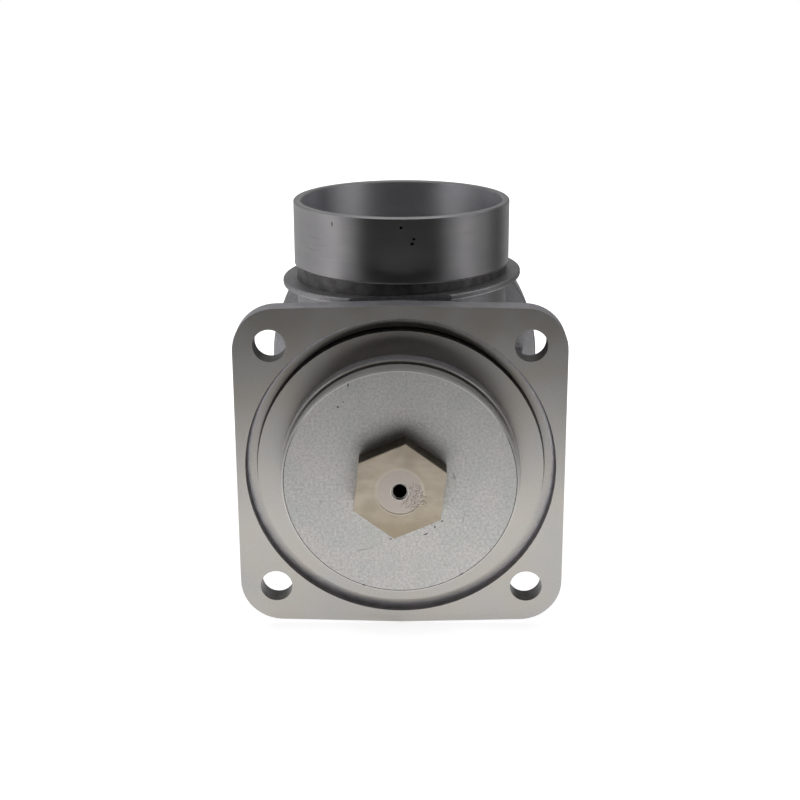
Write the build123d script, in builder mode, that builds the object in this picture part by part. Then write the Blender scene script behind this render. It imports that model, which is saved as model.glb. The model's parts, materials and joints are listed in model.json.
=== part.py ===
from build123d import *
from math import cos, radians, sin, sqrt
import os

# Air compressor intake valve: a normally closed poppet valve on a square flange, its inlet pipe on top.
# Air enters at the pipe, turns in a round chamber and leaves past the valve head at the flange.
# Control air behind the piston pushes the head off its seat; the return spring closes it again.
# Frame: +Z up along the inlet pipe, -Y out of the flange to the compressor, +Y back to the rear cover.
# The origin is the centre of the flange's mounting face. Sizes are in millimetres, angles in degrees.

# Mounting flange, peaked a little at the middle of its top and bottom, where the mould halves met
flange_width = 131.0
flange_height = 131.0
flange_crown = 1.5
flange_thickness = 10.0
flange_corner_r = 17.0
flange_edge_r = 1.0
flange_root_r = 2.0
bolt_edge_distance = 14.5
bolt_hole_d = 13.0
bolt_spot_d = 25.0
bolt_spot_depth = 0.5

# Face groove for the compressor's own O-ring, inside the bolt holes and empty until the valve is fitted
groove_hole_gap = 3.625
groove_width = 5.0
groove_depth = 4.5
groove_floor_r = 1.5

# Raised valve seat, cast and turned with the flange
seat_outer_d = 95.0
seat_bore_d = 80.0
seat_height = 7.2
seat_chamfer = 0.5

# Round housing between the bolts: air chamber in front, then a bulkhead, then the control cylinder
housing_spot_gap = 5.625
chamber_wall = 6.0
chamber_corner_r = 4.0
bulkhead_thickness = 10.0
cylinder_wall = 8.0
rear_flange_rim = 12.0
rear_flange_thickness = 12.0
rear_flange_root_r = 3.0
rear_flange_edge_r = 1.0

# Inlet pipe: machined spigot on a cast trunk, with a cast collar round it a little way below the spigot
spigot_d = 90.0
spigot_wall = 3.0
spigot_length = 26.3
spigot_bore_length = 29.0
spigot_chamfer = 0.5
spigot_flange_gap = 4.7
neck_length = 4.8
trunk_inset = 1.0
trunk_wall = 5.5
trunk_root_r = 2.0
trunk_bulkhead_gap = 5.8
bore_step_length = 4.0
collar_ledge = 5.0
collar_thickness = 2.5
collar_rise = 13.2
collar_tilt = 2.15
collar_flange_gap = 4.0
collar_edge_r = 0.7

# Stiffening ribs along the housing, flared where they meet the flange
rib_count = 4
rib_thickness = 8.0
rib_height = 4.5
rib_flare = 5.0
rib_flare_length = 22.0
rib_edge_r = 1.5
rib_root_r = 2.0

# Side ports of the chamber, closed by plugs
port_boss_d = 26.0
port_boss_height = 3.5
port_thread_d = 12.0
plug_length = 9.0
plug_head_d = 18.0
plug_head_height = 3.0
plug_head_chamfer = 0.4
plug_socket = 6.0
plug_socket_depth = 5.0
plug_washer_d = 20.0
plug_washer_thickness = 1.5

# Breather of the spring side, low on the right of the cylinder
breather_angle = -45.0
breather_offset = 8.0
breather_boss_d = 17.0
breather_boss_height = 3.0
breather_thread_d = 9.0
breather_length = 6.0
breather_bore_d = 5.0
breather_hex = 13.0
breather_hex_height = 4.0
breather_element_d = 9.0
breather_element_height = 5.0
breather_element_r = 2.5
breather_insert = 2.0

# Boss of the bulkhead, with the stem's guide bush pressed in and its seal behind
boss_d = 40.0
boss_front_length = 16.0
boss_rear_length = 8.0
boss_root_r = 3.0
guide_lip_step = 1.5
guide_lip_length = 4.0
bush_d = 26.0
bush_length = 23.0
bush_chamfer = 0.6
stem_seal_d = 30.0
stem_seal_height = 4.8
seal_notch_r = 1.6
circlip_groove_step = 1.2
circlip_bore_d = 26.0
circlip_thickness = 1.4
circlip_opening = 9.0
circlip_lug_d = 5.0
circlip_hole_d = 2.0
spring_pilot_height = 3.0

# Valve head: a turned plate over a rubber disc, held by a smaller plate that hangs inside the seat
plate_inset = 1.3
plate_thickness = 7.6
plate_chamfer = 0.6
seal_inset = 0.4
seal_thickness = 1.2
retainer_gap = 4.0
retainer_thickness = 5.0
retainer_chamfer = 1.5

# Hollow centre bolt, whose orifice feeds the compressor while the valve is shut
hex_across_flats = 34.0
hex_height = 9.0
hex_edge_break = 0.25
hex_turn = 23.4
bolt_d = 16.0
bolt_length = 38.0
bolt_chamfer = 1.0
orifice_d = 5.2
orifice_chamfer = 0.85
facing_d = 18.5
facing_depth = 0.25

# Stem
stem_d = 20.0
stem_collar_d = 30.0
stem_collar_length = 5.0
stem_thread_d = 14.0
stem_thread_spare = 2.0
stem_chamfer = 1.0
stem_hole_spare = 2.0
stem_bore_d = 8.0
stem_bore_length = 18.0
stem_port_d = 6.0

# Piston and its fittings
piston_travel = 22.0
piston_hub_d = 38.0
piston_hub_length = 18.0
piston_web_thickness = 6.0
piston_rim_wall = 7.6
piston_skirt_length = 10.0
piston_crown_rise = 5.2
piston_chamfer = 0.8
piston_land = 3.5
piston_seal_depth = 4.6
piston_seal_width = 4.8
guide_ring_depth = 2.0
guide_ring_width = 4.8
guide_ring_split = 1.5
hub_ring_cord = 2.2
hub_ring_corner_r = 0.6
buffer_thickness = 4.0
buffer_corner_r = 0.8
piston_washer_d = 28.0
piston_washer_thickness = 2.5
piston_nut_hex = 22.0
piston_nut_height = 11.0

# Return spring
spring_d = 58.0
spring_wire_d = 4.0
spring_coils = 5.0
spring_ground = 1.4

# Rear cover
cover_thickness = 10.0
cover_spigot_length = 4.0
cover_chamfer = 1.0
cover_boss_d = 48.0
cover_boss_height = 5.0
cover_boss_chamfer = 1.5
cover_boss_root_r = 1.5
cover_piston_gap = 1.5
nut_side_gap = 4.0
nut_end_gap = 2.2
cover_ring_land = 4.0
cover_ring_cord = 2.6
cover_ring_squeeze = 0.5
cover_ring_corner_r = 0.7
control_port_offset = 36.0
control_port_boss_d = 24.0
control_port_boss_height = 8.0
control_port_d = 11.44
control_port_length = 12.0
control_port_countersink = 0.9
control_passage_d = 8.0

# Cover screws and washers
screw_edge_distance = 8.0
screw_count = 8
screw_start = 22.5
screw_d = 6.0
screw_length = 20.0
screw_hole_spare = 1.5
screw_clearance_d = 6.6
screw_head_d = 10.0
screw_head_height = 6.0
screw_head_chamfer = 0.5
screw_socket = 5.0
screw_socket_depth = 3.0
washer_d = 12.0
washer_thickness = 1.6

# Clearances: a shaft in its guide, a piston in its bore, a lip on its shaft, rubber and loose holes
running_gap = 0.05
sliding_gap = 0.4
lip_gap = 0.1
soft_gap = 0.3
hole_gap = 0.1

# Edges and faces are picked by where they lie, to within this
near = 0.01

# Round the valve axis: the groove and the housing keep inside the bolt holes, and the rest follows
bolt_spacing_x = flange_width - 2 * bolt_edge_distance
bolt_spacing_z = flange_height - 2 * bolt_edge_distance
bolt_circle_d = sqrt(bolt_spacing_x**2 + bolt_spacing_z**2)
groove_outer_d = bolt_circle_d - bolt_hole_d - 2 * groove_hole_gap
housing_d = bolt_circle_d - bolt_spot_d - 2 * housing_spot_gap
chamber_bore_d = housing_d - 2 * chamber_wall
cylinder_bore_d = housing_d - 2 * cylinder_wall
rear_flange_d = housing_d + 2 * rear_flange_rim
screw_circle_d = rear_flange_d - 2 * screw_edge_distance
cover_ring_d = cylinder_bore_d + 2 * cover_ring_land
plate_d = seat_outer_d - 2 * plate_inset
seal_d = plate_d - 2 * seal_inset
retainer_d = seat_bore_d - 2 * retainer_gap
guide_lip_d = bush_d - 2 * guide_lip_step
circlip_groove_d = stem_seal_d + 2 * circlip_groove_step
nut_recess_d = piston_washer_d + 2 * nut_side_gap

# Round the inlet pipe's axis, and up along it from the top of the housing
spigot_bore_d = spigot_d - 2 * spigot_wall
trunk_d = spigot_d - 2 * trunk_inset
trunk_bore_d = trunk_d - 2 * trunk_wall
collar_d = spigot_d + 2 * collar_ledge
collar_top_z = housing_d / 2 + collar_rise
spigot_bottom_z = collar_top_z + neck_length
inlet_top_z = spigot_bottom_z + spigot_length
spigot_bore_z = inlet_top_z - spigot_bore_length
trunk_bore_z = sqrt(chamber_bore_d**2 - trunk_bore_d**2) / 2

# Depths along the valve axis, counted from the flange's mounting face
flange_back = flange_thickness
inlet_depth = flange_back + spigot_flange_gap + spigot_d / 2
bulkhead_front = inlet_depth + trunk_bore_d / 2 + trunk_bulkhead_gap
bulkhead_back = bulkhead_front + bulkhead_thickness
boss_front = bulkhead_front - boss_front_length
boss_back = bulkhead_back + boss_rear_length
bush_front = boss_front + guide_lip_length
bush_back = bush_front + bush_length
stem_seal_back = bush_back + stem_seal_height
circlip_back = stem_seal_back + circlip_thickness
breather_depth = bulkhead_back + breather_offset

seal_front = -seat_height - seal_thickness
plate_front = seal_front - plate_thickness
hex_front = plate_front - hex_height
retainer_back = retainer_thickness - seat_height
bolt_back = plate_front + bolt_length
stem_hole_back = bolt_back + stem_hole_spare
stem_bore_back = stem_hole_back + stem_bore_length

# The piston stops on the boss through its rubber buffer when the valve is fully open
hub_front = boss_back + soft_gap + buffer_thickness + piston_travel
hub_back = hub_front + piston_hub_length
web_front = hub_back - piston_web_thickness
skirt_front = web_front - piston_skirt_length
crown_back = hub_back + piston_crown_rise
guide_ring_front = skirt_front + piston_land
piston_seal_back = crown_back - piston_land
hub_ring_front = hub_front + (piston_hub_length - hub_ring_cord) / 2
piston_washer_back = hub_back + piston_washer_thickness
piston_nut_back = piston_washer_back + piston_nut_height
stem_back = piston_nut_back + stem_thread_spare

# The cover closes the cylinder just behind the shut piston
cover_front = crown_back + cover_piston_gap
housing_back = cover_front + cover_spigot_length
rear_flange_front = housing_back - rear_flange_thickness
cover_back = housing_back + cover_thickness
control_port_back = cover_back + control_port_boss_height
nut_recess_back = stem_back + nut_end_gap

# Faces and fits that follow from the sizes above
chamber_front_r = min(chamber_corner_r, 0.4 * (chamber_bore_d - seat_bore_d))
port_face = housing_d / 2 + port_boss_height
breather_face = housing_d / 2 + breather_boss_height
piston_d = cylinder_bore_d - 2 * sliding_gap
piston_rim_bore_d = piston_d - 2 * piston_rim_wall
piston_seal_bore_d = piston_d - 2 * piston_seal_depth
guide_ring_bore_d = piston_d - 2 * guide_ring_depth
spring_pilot_d = spring_d - spring_wire_d - 2 * soft_gap
cover_ring_depth = cover_ring_cord - cover_ring_squeeze
screw_hole_depth = screw_length + screw_hole_spare - washer_thickness - cover_thickness
inlet_axis = Axis((0, inlet_depth, 0), (0, 0, 1))


def facing_front(depth):
    """Plane across the valve axis at a depth, facing the compressor, its x to the right and y up."""
    return Plane.XZ.offset(-depth)


def facing_back(depth):
    """Plane across the valve axis at a depth, facing away from the compressor, its y up."""
    return Plane((0, depth, 0), x_dir=(-1, 0, 0), z_dir=(0, 1, 0))


def facing_out(radius, depth, angle):
    """Plane square to a radius of the valve axis, at an angle from +X towards +Z, facing outwards."""
    outwards = (cos(radians(angle)), 0, sin(radians(angle)))
    origin = (radius * outwards[0], depth, radius * outwards[2])
    return Plane(origin, x_dir=(0, 1, 0), z_dir=outwards)


def section(inner_d, outer_d, front, back, mode=Mode.ADD):
    """Half section of a ring, from one diameter to another and from one depth to another."""
    with Locations(((inner_d + outer_d) / 4, (front + back) / 2)):
        Rectangle((outer_d - inner_d) / 2, back - front, mode=mode)


def corner(diameter, depth):
    """The corner of a half section that lies nearest to a diameter and a depth."""
    return vertices().sort_by_distance((diameter / 2, depth, 0))[0]


def on_housing(edge):
    """Whether the middle of an edge lies on the housing's outer wall."""
    middle = edge @ 0.5
    return abs(sqrt(middle.X**2 + middle.Z**2) - housing_d / 2) < near


def on_trunk(edge):
    """Whether the middle of an edge lies on the wall of the pipe's trunk, below its end."""
    middle = edge @ 0.5
    from_axis = sqrt(middle.X**2 + (middle.Y - inlet_depth) ** 2)
    return abs(from_axis - trunk_d / 2) < near and middle.Z < spigot_bottom_z - near


def screw_places():
    """The places of the cover screws on a plane across the valve axis."""
    return PolarLocations(screw_circle_d / 2, screw_count, start_angle=screw_start)


with BuildPart() as valve_body:
    with BuildSketch(facing_front(0)):
        with BuildLine():
            Polyline(
                (-flange_width / 2, -flange_height / 2),
                (0, -flange_height / 2 - flange_crown),
                (flange_width / 2, -flange_height / 2),
                (flange_width / 2, flange_height / 2),
                (0, flange_height / 2 + flange_crown),
                (-flange_width / 2, flange_height / 2),
                close=True,
            )
        make_face()
        fillet(vertices().filter_by(lambda point: abs(point.X) > flange_width / 4), flange_corner_r)
    extrude(amount=-flange_thickness)
    fillet(faces().sort_by(Axis.Y)[-1].edges(), flange_edge_r)

    # Housing with its rear flange
    with BuildSketch(Plane.XY):
        section(0, housing_d, flange_thickness / 2, housing_back)
        section(0, rear_flange_d, rear_flange_front, housing_back)
        fillet(corner(housing_d, rear_flange_front), rear_flange_root_r)
        fillet(corner(rear_flange_d, rear_flange_front), rear_flange_edge_r)
    revolve(axis=Axis.Y)

    # Ribs, each with a gusset against the flange
    rib_root = (housing_d - chamber_wall) / 2
    rib_top = housing_d / 2 + rib_height
    with BuildPart(mode=Mode.PRIVATE) as rib:
        with BuildSketch(Plane.XY):
            with BuildLine():
                Polyline(
                    (rib_root, flange_back),
                    (rib_top + rib_flare, flange_back),
                    (rib_top, flange_back + rib_flare_length),
                    (rib_top, rear_flange_front),
                    (rib_root, rear_flange_front),
                    close=True,
                )
            make_face()
        extrude(amount=rib_thickness / 2, both=True)
        fillet(
            edges()
            .filter_by(Axis.Z, reverse=True)
            .filter_by(lambda edge: min(point.X for point in edge.vertices()) > rib_top - near),
            rib_edge_r,
        )
    for rib_number in range(rib_count):
        add(rib.part, rotation=(0, rib_number * 360 / rib_count, 0))
    fillet(edges().filter_by(Axis.Y).filter_by(on_housing), rib_root_r)
    fillet(
        edges()
        .filter_by(GeomType.CIRCLE)
        .filter_by(on_housing)
        .filter_by_position(Axis.Y, flange_back - near, flange_back + near),
        flange_root_r,
    )

    # Inlet pipe, its trunk filleted into the housing and the ribs
    with BuildSketch(facing_front(inlet_depth)):
        section(0, trunk_d, 0, spigot_bottom_z)
    revolve(axis=inlet_axis)
    fillet(edges().filter_by(Axis.Z, reverse=True).filter_by(on_trunk), trunk_root_r)
    with BuildSketch(facing_front(inlet_depth)):
        section(0, spigot_d, spigot_bottom_z, inlet_top_z)
        chamfer(corner(spigot_d, inlet_top_z), spigot_chamfer)
    revolve(axis=inlet_axis)

    # Cast collar, a little out of square with the pipe and trimmed flat behind the flange
    collar_plane = Plane(
        (0, inlet_depth, collar_top_z - collar_thickness / 2),
        x_dir=(cos(radians(collar_tilt)), 0, sin(radians(collar_tilt))),
        z_dir=(-sin(radians(collar_tilt)), 0, cos(radians(collar_tilt))),
    )
    with BuildSketch(collar_plane):
        Circle(collar_d / 2)
        with Locations((0, flange_back + collar_flange_gap - inlet_depth)):
            Rectangle(collar_d, collar_d, align=(Align.CENTER, Align.MAX), mode=Mode.SUBTRACT)
    extrude(amount=collar_thickness / 2, both=True)
    fillet(
        edges()
        .filter_by(GeomType.CIRCLE)
        .filter_by(lambda edge: abs(edge.radius - collar_d / 2) < near),
        collar_edge_r,
    )

    # Bosses of the side ports, spot faced through the ribs, and of the breather
    for port_angle in (0, 180):
        with BuildSketch(facing_out(port_face, inlet_depth, port_angle)):
            Circle(port_boss_d / 2)
        extrude(amount=-port_boss_height - chamber_wall / 2)
        with BuildSketch(facing_out(port_face, inlet_depth, port_angle)):
            Circle(port_boss_d / 2)
        extrude(amount=rib_height + rib_flare, mode=Mode.SUBTRACT)
    with BuildSketch(facing_out(breather_face, breather_depth, breather_angle)):
        Circle(breather_boss_d / 2)
    extrude(amount=-breather_boss_height - cylinder_wall / 2)

    # Raised seat
    with BuildSketch(Plane.XY):
        section(0, seat_outer_d, -seat_height, flange_thickness / 2)
        chamfer(corner(seat_outer_d, -seat_height), seat_chamfer)
    revolve(axis=Axis.Y)

    # Everything bored on the valve axis: seat, chamber, boss of the stem guide and cylinder
    with BuildSketch(Plane.XY):
        section(0, seat_bore_d, -seat_height, flange_back)
        section(0, chamber_bore_d, flange_back, boss_front)
        section(boss_d, chamber_bore_d, boss_front, bulkhead_front)
        section(0, guide_lip_d, boss_front, bush_front)
        section(0, bush_d, bush_front, bush_back)
        section(0, stem_seal_d, bush_back, boss_back)
        section(0, circlip_groove_d, stem_seal_back, circlip_back)
        section(spring_pilot_d, cylinder_bore_d, bulkhead_back, bulkhead_back + spring_pilot_height)
        section(boss_d, cylinder_bore_d, bulkhead_back + spring_pilot_height, boss_back)
        section(0, cylinder_bore_d, boss_back, housing_back)
        fillet(corner(chamber_bore_d, flange_back), chamber_front_r)
        fillet(corner(chamber_bore_d, bulkhead_front), chamber_corner_r)
        fillet(corner(boss_d, bulkhead_front), boss_root_r)
    revolve(axis=Axis.Y, mode=Mode.SUBTRACT)

    # Bore of the inlet pipe, stepped down to the cast trunk
    with BuildSketch(facing_front(inlet_depth)):
        with BuildLine():
            Polyline(
                (0, trunk_bore_z - bore_step_length),
                (trunk_bore_d / 2, trunk_bore_z - bore_step_length),
                (trunk_bore_d / 2, spigot_bore_z - bore_step_length),
                (spigot_bore_d / 2, spigot_bore_z),
                (spigot_bore_d / 2, inlet_top_z - spigot_chamfer),
                (spigot_bore_d / 2 + spigot_chamfer, inlet_top_z),
                (0, inlet_top_z),
                close=True,
            )
        make_face()
    revolve(axis=inlet_axis, mode=Mode.SUBTRACT)

    # Face groove with a rounded outer floor
    with BuildSketch(Plane.XY):
        section(groove_outer_d - 2 * groove_width, groove_outer_d, 0, groove_depth)
        fillet(corner(groove_outer_d, groove_depth), groove_floor_r)
    revolve(axis=Axis.Y, mode=Mode.SUBTRACT)

    # Mounting holes, spot faced behind
    with BuildSketch(facing_front(0)):
        with GridLocations(bolt_spacing_x, bolt_spacing_z, 2, 2):
            Circle(bolt_hole_d / 2)
    extrude(amount=-flange_thickness, mode=Mode.SUBTRACT)
    with BuildSketch(facing_back(flange_back)):
        with GridLocations(bolt_spacing_x, bolt_spacing_z, 2, 2):
            Circle(bolt_spot_d / 2)
    extrude(amount=-bolt_spot_depth, mode=Mode.SUBTRACT)

    # Tapped holes of the cover screws, side ports and breather
    with BuildSketch(facing_back(housing_back)):
        with screw_places():
            Circle(screw_d / 2)
    extrude(amount=-screw_hole_depth, mode=Mode.SUBTRACT)
    for port_angle in (0, 180):
        with BuildSketch(facing_out(port_face, inlet_depth, port_angle)):
            Circle(port_thread_d / 2)
        extrude(amount=-port_boss_height - 2 * chamber_wall, mode=Mode.SUBTRACT)
    with BuildSketch(facing_out(breather_face, breather_depth, breather_angle)):
        Circle(breather_thread_d / 2)
    extrude(amount=-breather_length, mode=Mode.SUBTRACT)
    with BuildSketch(facing_out(breather_face, breather_depth, breather_angle)):
        Circle(breather_bore_d / 2)
    extrude(amount=-breather_boss_height - cylinder_wall - breather_bore_d, mode=Mode.SUBTRACT)

with BuildPart() as rear_cover:
    with BuildSketch(Plane.XY):
        section(0, rear_flange_d, housing_back, cover_back)
        section(0, cylinder_bore_d - 2 * running_gap, cover_front, housing_back)
        chamfer(corner(rear_flange_d, cover_back), cover_chamfer)
    revolve(axis=Axis.Y)

    # Middle boss, joined to the boss of the control port above it
    with BuildSketch(facing_back(cover_back)):
        Circle(cover_boss_d / 2)
        Rectangle(control_port_boss_d, control_port_offset, align=(Align.CENTER, Align.MIN))
    extrude(amount=cover_boss_height)
    with BuildSketch(facing_back(cover_back)):
        with Locations((0, control_port_offset)):
            Circle(control_port_boss_d / 2)
    extrude(amount=control_port_boss_height)
    chamfer(faces().sort_by(Axis.Y)[-1].edges(), cover_boss_chamfer)
    fillet(
        faces().filter_by(Plane.XZ).filter_by_position(Axis.Y, cover_back - near, cover_back + near)[0]
        .inner_wires()[0].edges(),
        cover_boss_root_r,
    )

    # Room for the piston nut, groove of the O-ring, control port and screw holes
    with BuildSketch(Plane.XY):
        section(0, nut_recess_d, cover_front, nut_recess_back)
        section(
            cover_ring_d - cover_ring_cord - 2 * hole_gap,
            cover_ring_d + cover_ring_cord + 2 * hole_gap,
            housing_back,
            housing_back + cover_ring_depth,
        )
    revolve(axis=Axis.Y, mode=Mode.SUBTRACT)
    with BuildSketch(facing_back(control_port_back)):
        with Locations((0, control_port_offset)):
            Circle(control_port_d / 2)
    extrude(amount=-control_port_length, mode=Mode.SUBTRACT)
    chamfer(
        edges()
        .filter_by(GeomType.CIRCLE)
        .filter_by(lambda edge: abs(edge.radius - control_port_d / 2) < near)
        .sort_by(Axis.Y)[-1],
        control_port_countersink,
    )
    with BuildSketch(facing_back(control_port_back)):
        with Locations((0, control_port_offset)):
            Circle(control_passage_d / 2)
    extrude(amount=cover_front - control_port_back, mode=Mode.SUBTRACT)
    with BuildSketch(facing_back(cover_back)):
        with screw_places():
            Circle(screw_clearance_d / 2)
    extrude(amount=-cover_thickness, mode=Mode.SUBTRACT)

with BuildPart() as cover_o_ring:
    with BuildSketch(Plane.XY):
        section(
            cover_ring_d - cover_ring_cord,
            cover_ring_d + cover_ring_cord,
            housing_back,
            housing_back + cover_ring_depth,
        )
        fillet(vertices(), cover_ring_corner_r)
    revolve(axis=Axis.Y)

with BuildPart() as cover_washers:
    with BuildSketch(facing_back(cover_back)):
        with screw_places():
            Circle(washer_d / 2)
            Circle(screw_clearance_d / 2, mode=Mode.SUBTRACT)
    extrude(amount=washer_thickness)

with BuildPart() as cover_screws:
    head_bottom = cover_back + washer_thickness
    head_top = head_bottom + screw_head_height
    with BuildSketch(facing_back(head_bottom)):
        with screw_places():
            Circle(screw_head_d / 2)
    extrude(amount=screw_head_height)
    chamfer(faces().filter_by(Axis.Y).group_by(Axis.Y)[-1].edges(), screw_head_chamfer)
    with BuildSketch(facing_back(head_bottom)):
        with screw_places():
            Circle(screw_d / 2)
    extrude(amount=-screw_length)
    with BuildSketch(facing_back(head_top)):
        with screw_places():
            RegularPolygon(screw_socket / 2, 6, major_radius=False)
    extrude(amount=-screw_socket_depth, mode=Mode.SUBTRACT)

with BuildPart() as port_plugs:
    plug_face = port_face + plug_washer_thickness
    with BuildSketch(facing_out(plug_face, inlet_depth, 0)):
        Circle(plug_head_d / 2)
    extrude(amount=plug_head_height)
    chamfer(faces().sort_by(Axis.X)[-1].edges(), plug_head_chamfer)
    with BuildSketch(facing_out(plug_face, inlet_depth, 0)):
        Circle(port_thread_d / 2)
    extrude(amount=-plug_length)
    with BuildSketch(facing_out(plug_face + plug_head_height, inlet_depth, 0)):
        RegularPolygon(plug_socket / 2, 6, major_radius=False)
    extrude(amount=-plug_socket_depth, mode=Mode.SUBTRACT)
    mirror(about=Plane.YZ)

with BuildPart() as plug_washers:
    with BuildSketch(facing_out(port_face, inlet_depth, 0)):
        Circle(plug_washer_d / 2)
        Circle(port_thread_d / 2 + hole_gap, mode=Mode.SUBTRACT)
    extrude(amount=plug_washer_thickness)
    mirror(about=Plane.YZ)

with BuildPart() as breather_body:
    breather_top = breather_face + breather_hex_height
    with BuildSketch(facing_out(breather_face, breather_depth, breather_angle)):
        RegularPolygon(breather_hex / 2, 6, major_radius=False)
    extrude(amount=breather_hex_height)
    with BuildSketch(facing_out(breather_face, breather_depth, breather_angle)):
        Circle(breather_thread_d / 2)
    extrude(amount=-breather_length)
    with BuildSketch(facing_out(breather_top, breather_depth, breather_angle)):
        Circle(breather_element_d / 2)
    extrude(amount=-breather_insert, mode=Mode.SUBTRACT)
    with BuildSketch(facing_out(breather_top, breather_depth, breather_angle)):
        Circle(breather_bore_d / 2)
    extrude(amount=-breather_hex_height - breather_length, mode=Mode.SUBTRACT)

with BuildPart() as breather_element:
    element_plane = facing_out(breather_top - breather_insert, breather_depth, breather_angle)
    with BuildSketch(element_plane):
        Circle(breather_element_d / 2)
    extrude(amount=breather_insert + breather_element_height)
    fillet(edges().sort_by(Axis(element_plane.origin, element_plane.z_dir))[-1], breather_element_r)

with BuildPart() as guide_bush:
    with BuildSketch(Plane.XY):
        section(stem_d + 2 * running_gap, bush_d, bush_front, bush_back)
        chamfer(corner(bush_d, bush_front), bush_chamfer)
        chamfer(corner(bush_d, bush_back), bush_chamfer)
    revolve(axis=Axis.Y)

# Lip seals are notched on the side that they seal against
with BuildPart() as stem_seal:
    with BuildSketch(Plane.XY):
        section(stem_d + 2 * lip_gap, stem_seal_d, bush_back, stem_seal_back)
        with Locations(((stem_d + stem_seal_d) / 4, bush_back)):
            RegularPolygon(seal_notch_r, 3, rotation=90, mode=Mode.SUBTRACT)
    revolve(axis=Axis.Y)

with BuildPart() as seal_circlip:
    lug_x = (circlip_opening + circlip_lug_d) / 2
    lug_y = sqrt((circlip_bore_d / 2) ** 2 - lug_x**2)
    with BuildSketch(facing_back(stem_seal_back)):
        Circle(circlip_groove_d / 2 - hole_gap)
        Circle(circlip_bore_d / 2, mode=Mode.SUBTRACT)
        Rectangle(circlip_opening, circlip_groove_d, align=(Align.CENTER, Align.MIN), mode=Mode.SUBTRACT)
        with Locations((-lug_x, lug_y), (lug_x, lug_y)):
            Circle(circlip_lug_d / 2)
            Circle(circlip_hole_d / 2, mode=Mode.SUBTRACT)
    extrude(amount=circlip_thickness)

with BuildPart() as return_spring:
    spring_height = web_front - bulkhead_back - 2 * spring_ground
    with BuildLine() as coil:
        Helix(
            pitch=spring_height / spring_coils,
            height=spring_height,
            radius=spring_d / 2,
            center=(0, bulkhead_back + spring_ground, 0),
            direction=(0, 1, 0),
        )
    with BuildSketch(coil.line ^ 0):
        Circle(spring_wire_d / 2)
    sweep(is_frenet=True)
    split(bisect_by=facing_back(bulkhead_back), keep=Keep.TOP)
    split(bisect_by=facing_front(web_front), keep=Keep.TOP)

with BuildPart() as valve_plate:
    with BuildSketch(Plane.XY):
        section(bolt_d + 2 * hole_gap, plate_d, plate_front, seal_front)
        chamfer(corner(plate_d, plate_front), plate_chamfer)
    revolve(axis=Axis.Y)

with BuildPart() as valve_seal_disc:
    with BuildSketch(Plane.XY):
        section(bolt_d + 2 * hole_gap, seal_d, seal_front, -seat_height)
    revolve(axis=Axis.Y)

with BuildPart() as seal_retainer:
    with BuildSketch(Plane.XY):
        section(bolt_d + 2 * hole_gap, retainer_d, -seat_height, retainer_back)
        chamfer(corner(retainer_d, retainer_back), retainer_chamfer)
    revolve(axis=Axis.Y)

with BuildPart() as valve_bolt:
    with BuildSketch(facing_front(plate_front)):
        RegularPolygon(hex_across_flats / 2, 6, major_radius=False, rotation=hex_turn)
    extrude(amount=hex_height)
    chamfer(faces().sort_by(Axis.Y)[0].edges(), hex_edge_break)
    with BuildSketch(Plane.XY):
        section(0, bolt_d, plate_front - hex_height / 2, bolt_back)
        chamfer(corner(bolt_d, bolt_back), bolt_chamfer)
    revolve(axis=Axis.Y)

    # Orifice with a chamfered mouth in a shallow turned facing
    with BuildSketch(Plane.XY):
        with BuildLine():
            Polyline(
                (0, hex_front),
                (facing_d / 2, hex_front),
                (facing_d / 2, hex_front + facing_depth),
                (orifice_d / 2 + orifice_chamfer, hex_front + facing_depth),
                (orifice_d / 2, hex_front + facing_depth + orifice_chamfer),
                (orifice_d / 2, bolt_back),
                (0, bolt_back),
                close=True,
            )
        make_face()
    revolve(axis=Axis.Y, mode=Mode.SUBTRACT)

with BuildPart() as valve_stem:
    with BuildSketch(Plane.XY):
        section(0, stem_collar_d, retainer_back, retainer_back + stem_collar_length)
        section(0, stem_d, retainer_back, hub_front)
        section(0, stem_thread_d, hub_front, stem_back)
        chamfer(corner(stem_collar_d, retainer_back + stem_collar_length), stem_chamfer)
        chamfer(corner(stem_thread_d, stem_back), stem_chamfer)
    revolve(axis=Axis.Y)

    # Tapped hole of the centre bolt, then the bore that its cross holes feed with chamber air
    with BuildSketch(Plane.XY):
        section(0, bolt_d, retainer_back, stem_hole_back)
        section(0, stem_bore_d, stem_hole_back, stem_bore_back)
    revolve(axis=Axis.Y, mode=Mode.SUBTRACT)
    for stem_port_angle in (0, 90):
        with BuildSketch(facing_out(0, stem_bore_back - stem_port_d, stem_port_angle)):
            Circle(stem_port_d / 2)
        extrude(amount=stem_d, both=True, mode=Mode.SUBTRACT)

with BuildPart() as piston:
    with BuildSketch(Plane.XY):
        section(stem_thread_d + 2 * hole_gap, piston_hub_d, hub_front, hub_back)
        section(stem_thread_d + 2 * hole_gap, piston_d, web_front, hub_back)
        section(piston_rim_bore_d, piston_d, skirt_front, crown_back)
        chamfer(corner(piston_d, skirt_front), piston_chamfer)
        chamfer(corner(piston_d, crown_back), piston_chamfer)
        section(
            guide_ring_bore_d,
            cylinder_bore_d,
            guide_ring_front - hole_gap,
            guide_ring_front + guide_ring_width + hole_gap,
            mode=Mode.SUBTRACT,
        )
        section(
            piston_seal_bore_d,
            cylinder_bore_d,
            piston_seal_back - piston_seal_width - hole_gap,
            piston_seal_back + hole_gap,
            mode=Mode.SUBTRACT,
        )
        section(
            0,
            stem_thread_d + 2 * hub_ring_cord,
            hub_ring_front,
            hub_ring_front + hub_ring_cord,
            mode=Mode.SUBTRACT,
        )
    revolve(axis=Axis.Y)

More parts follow.
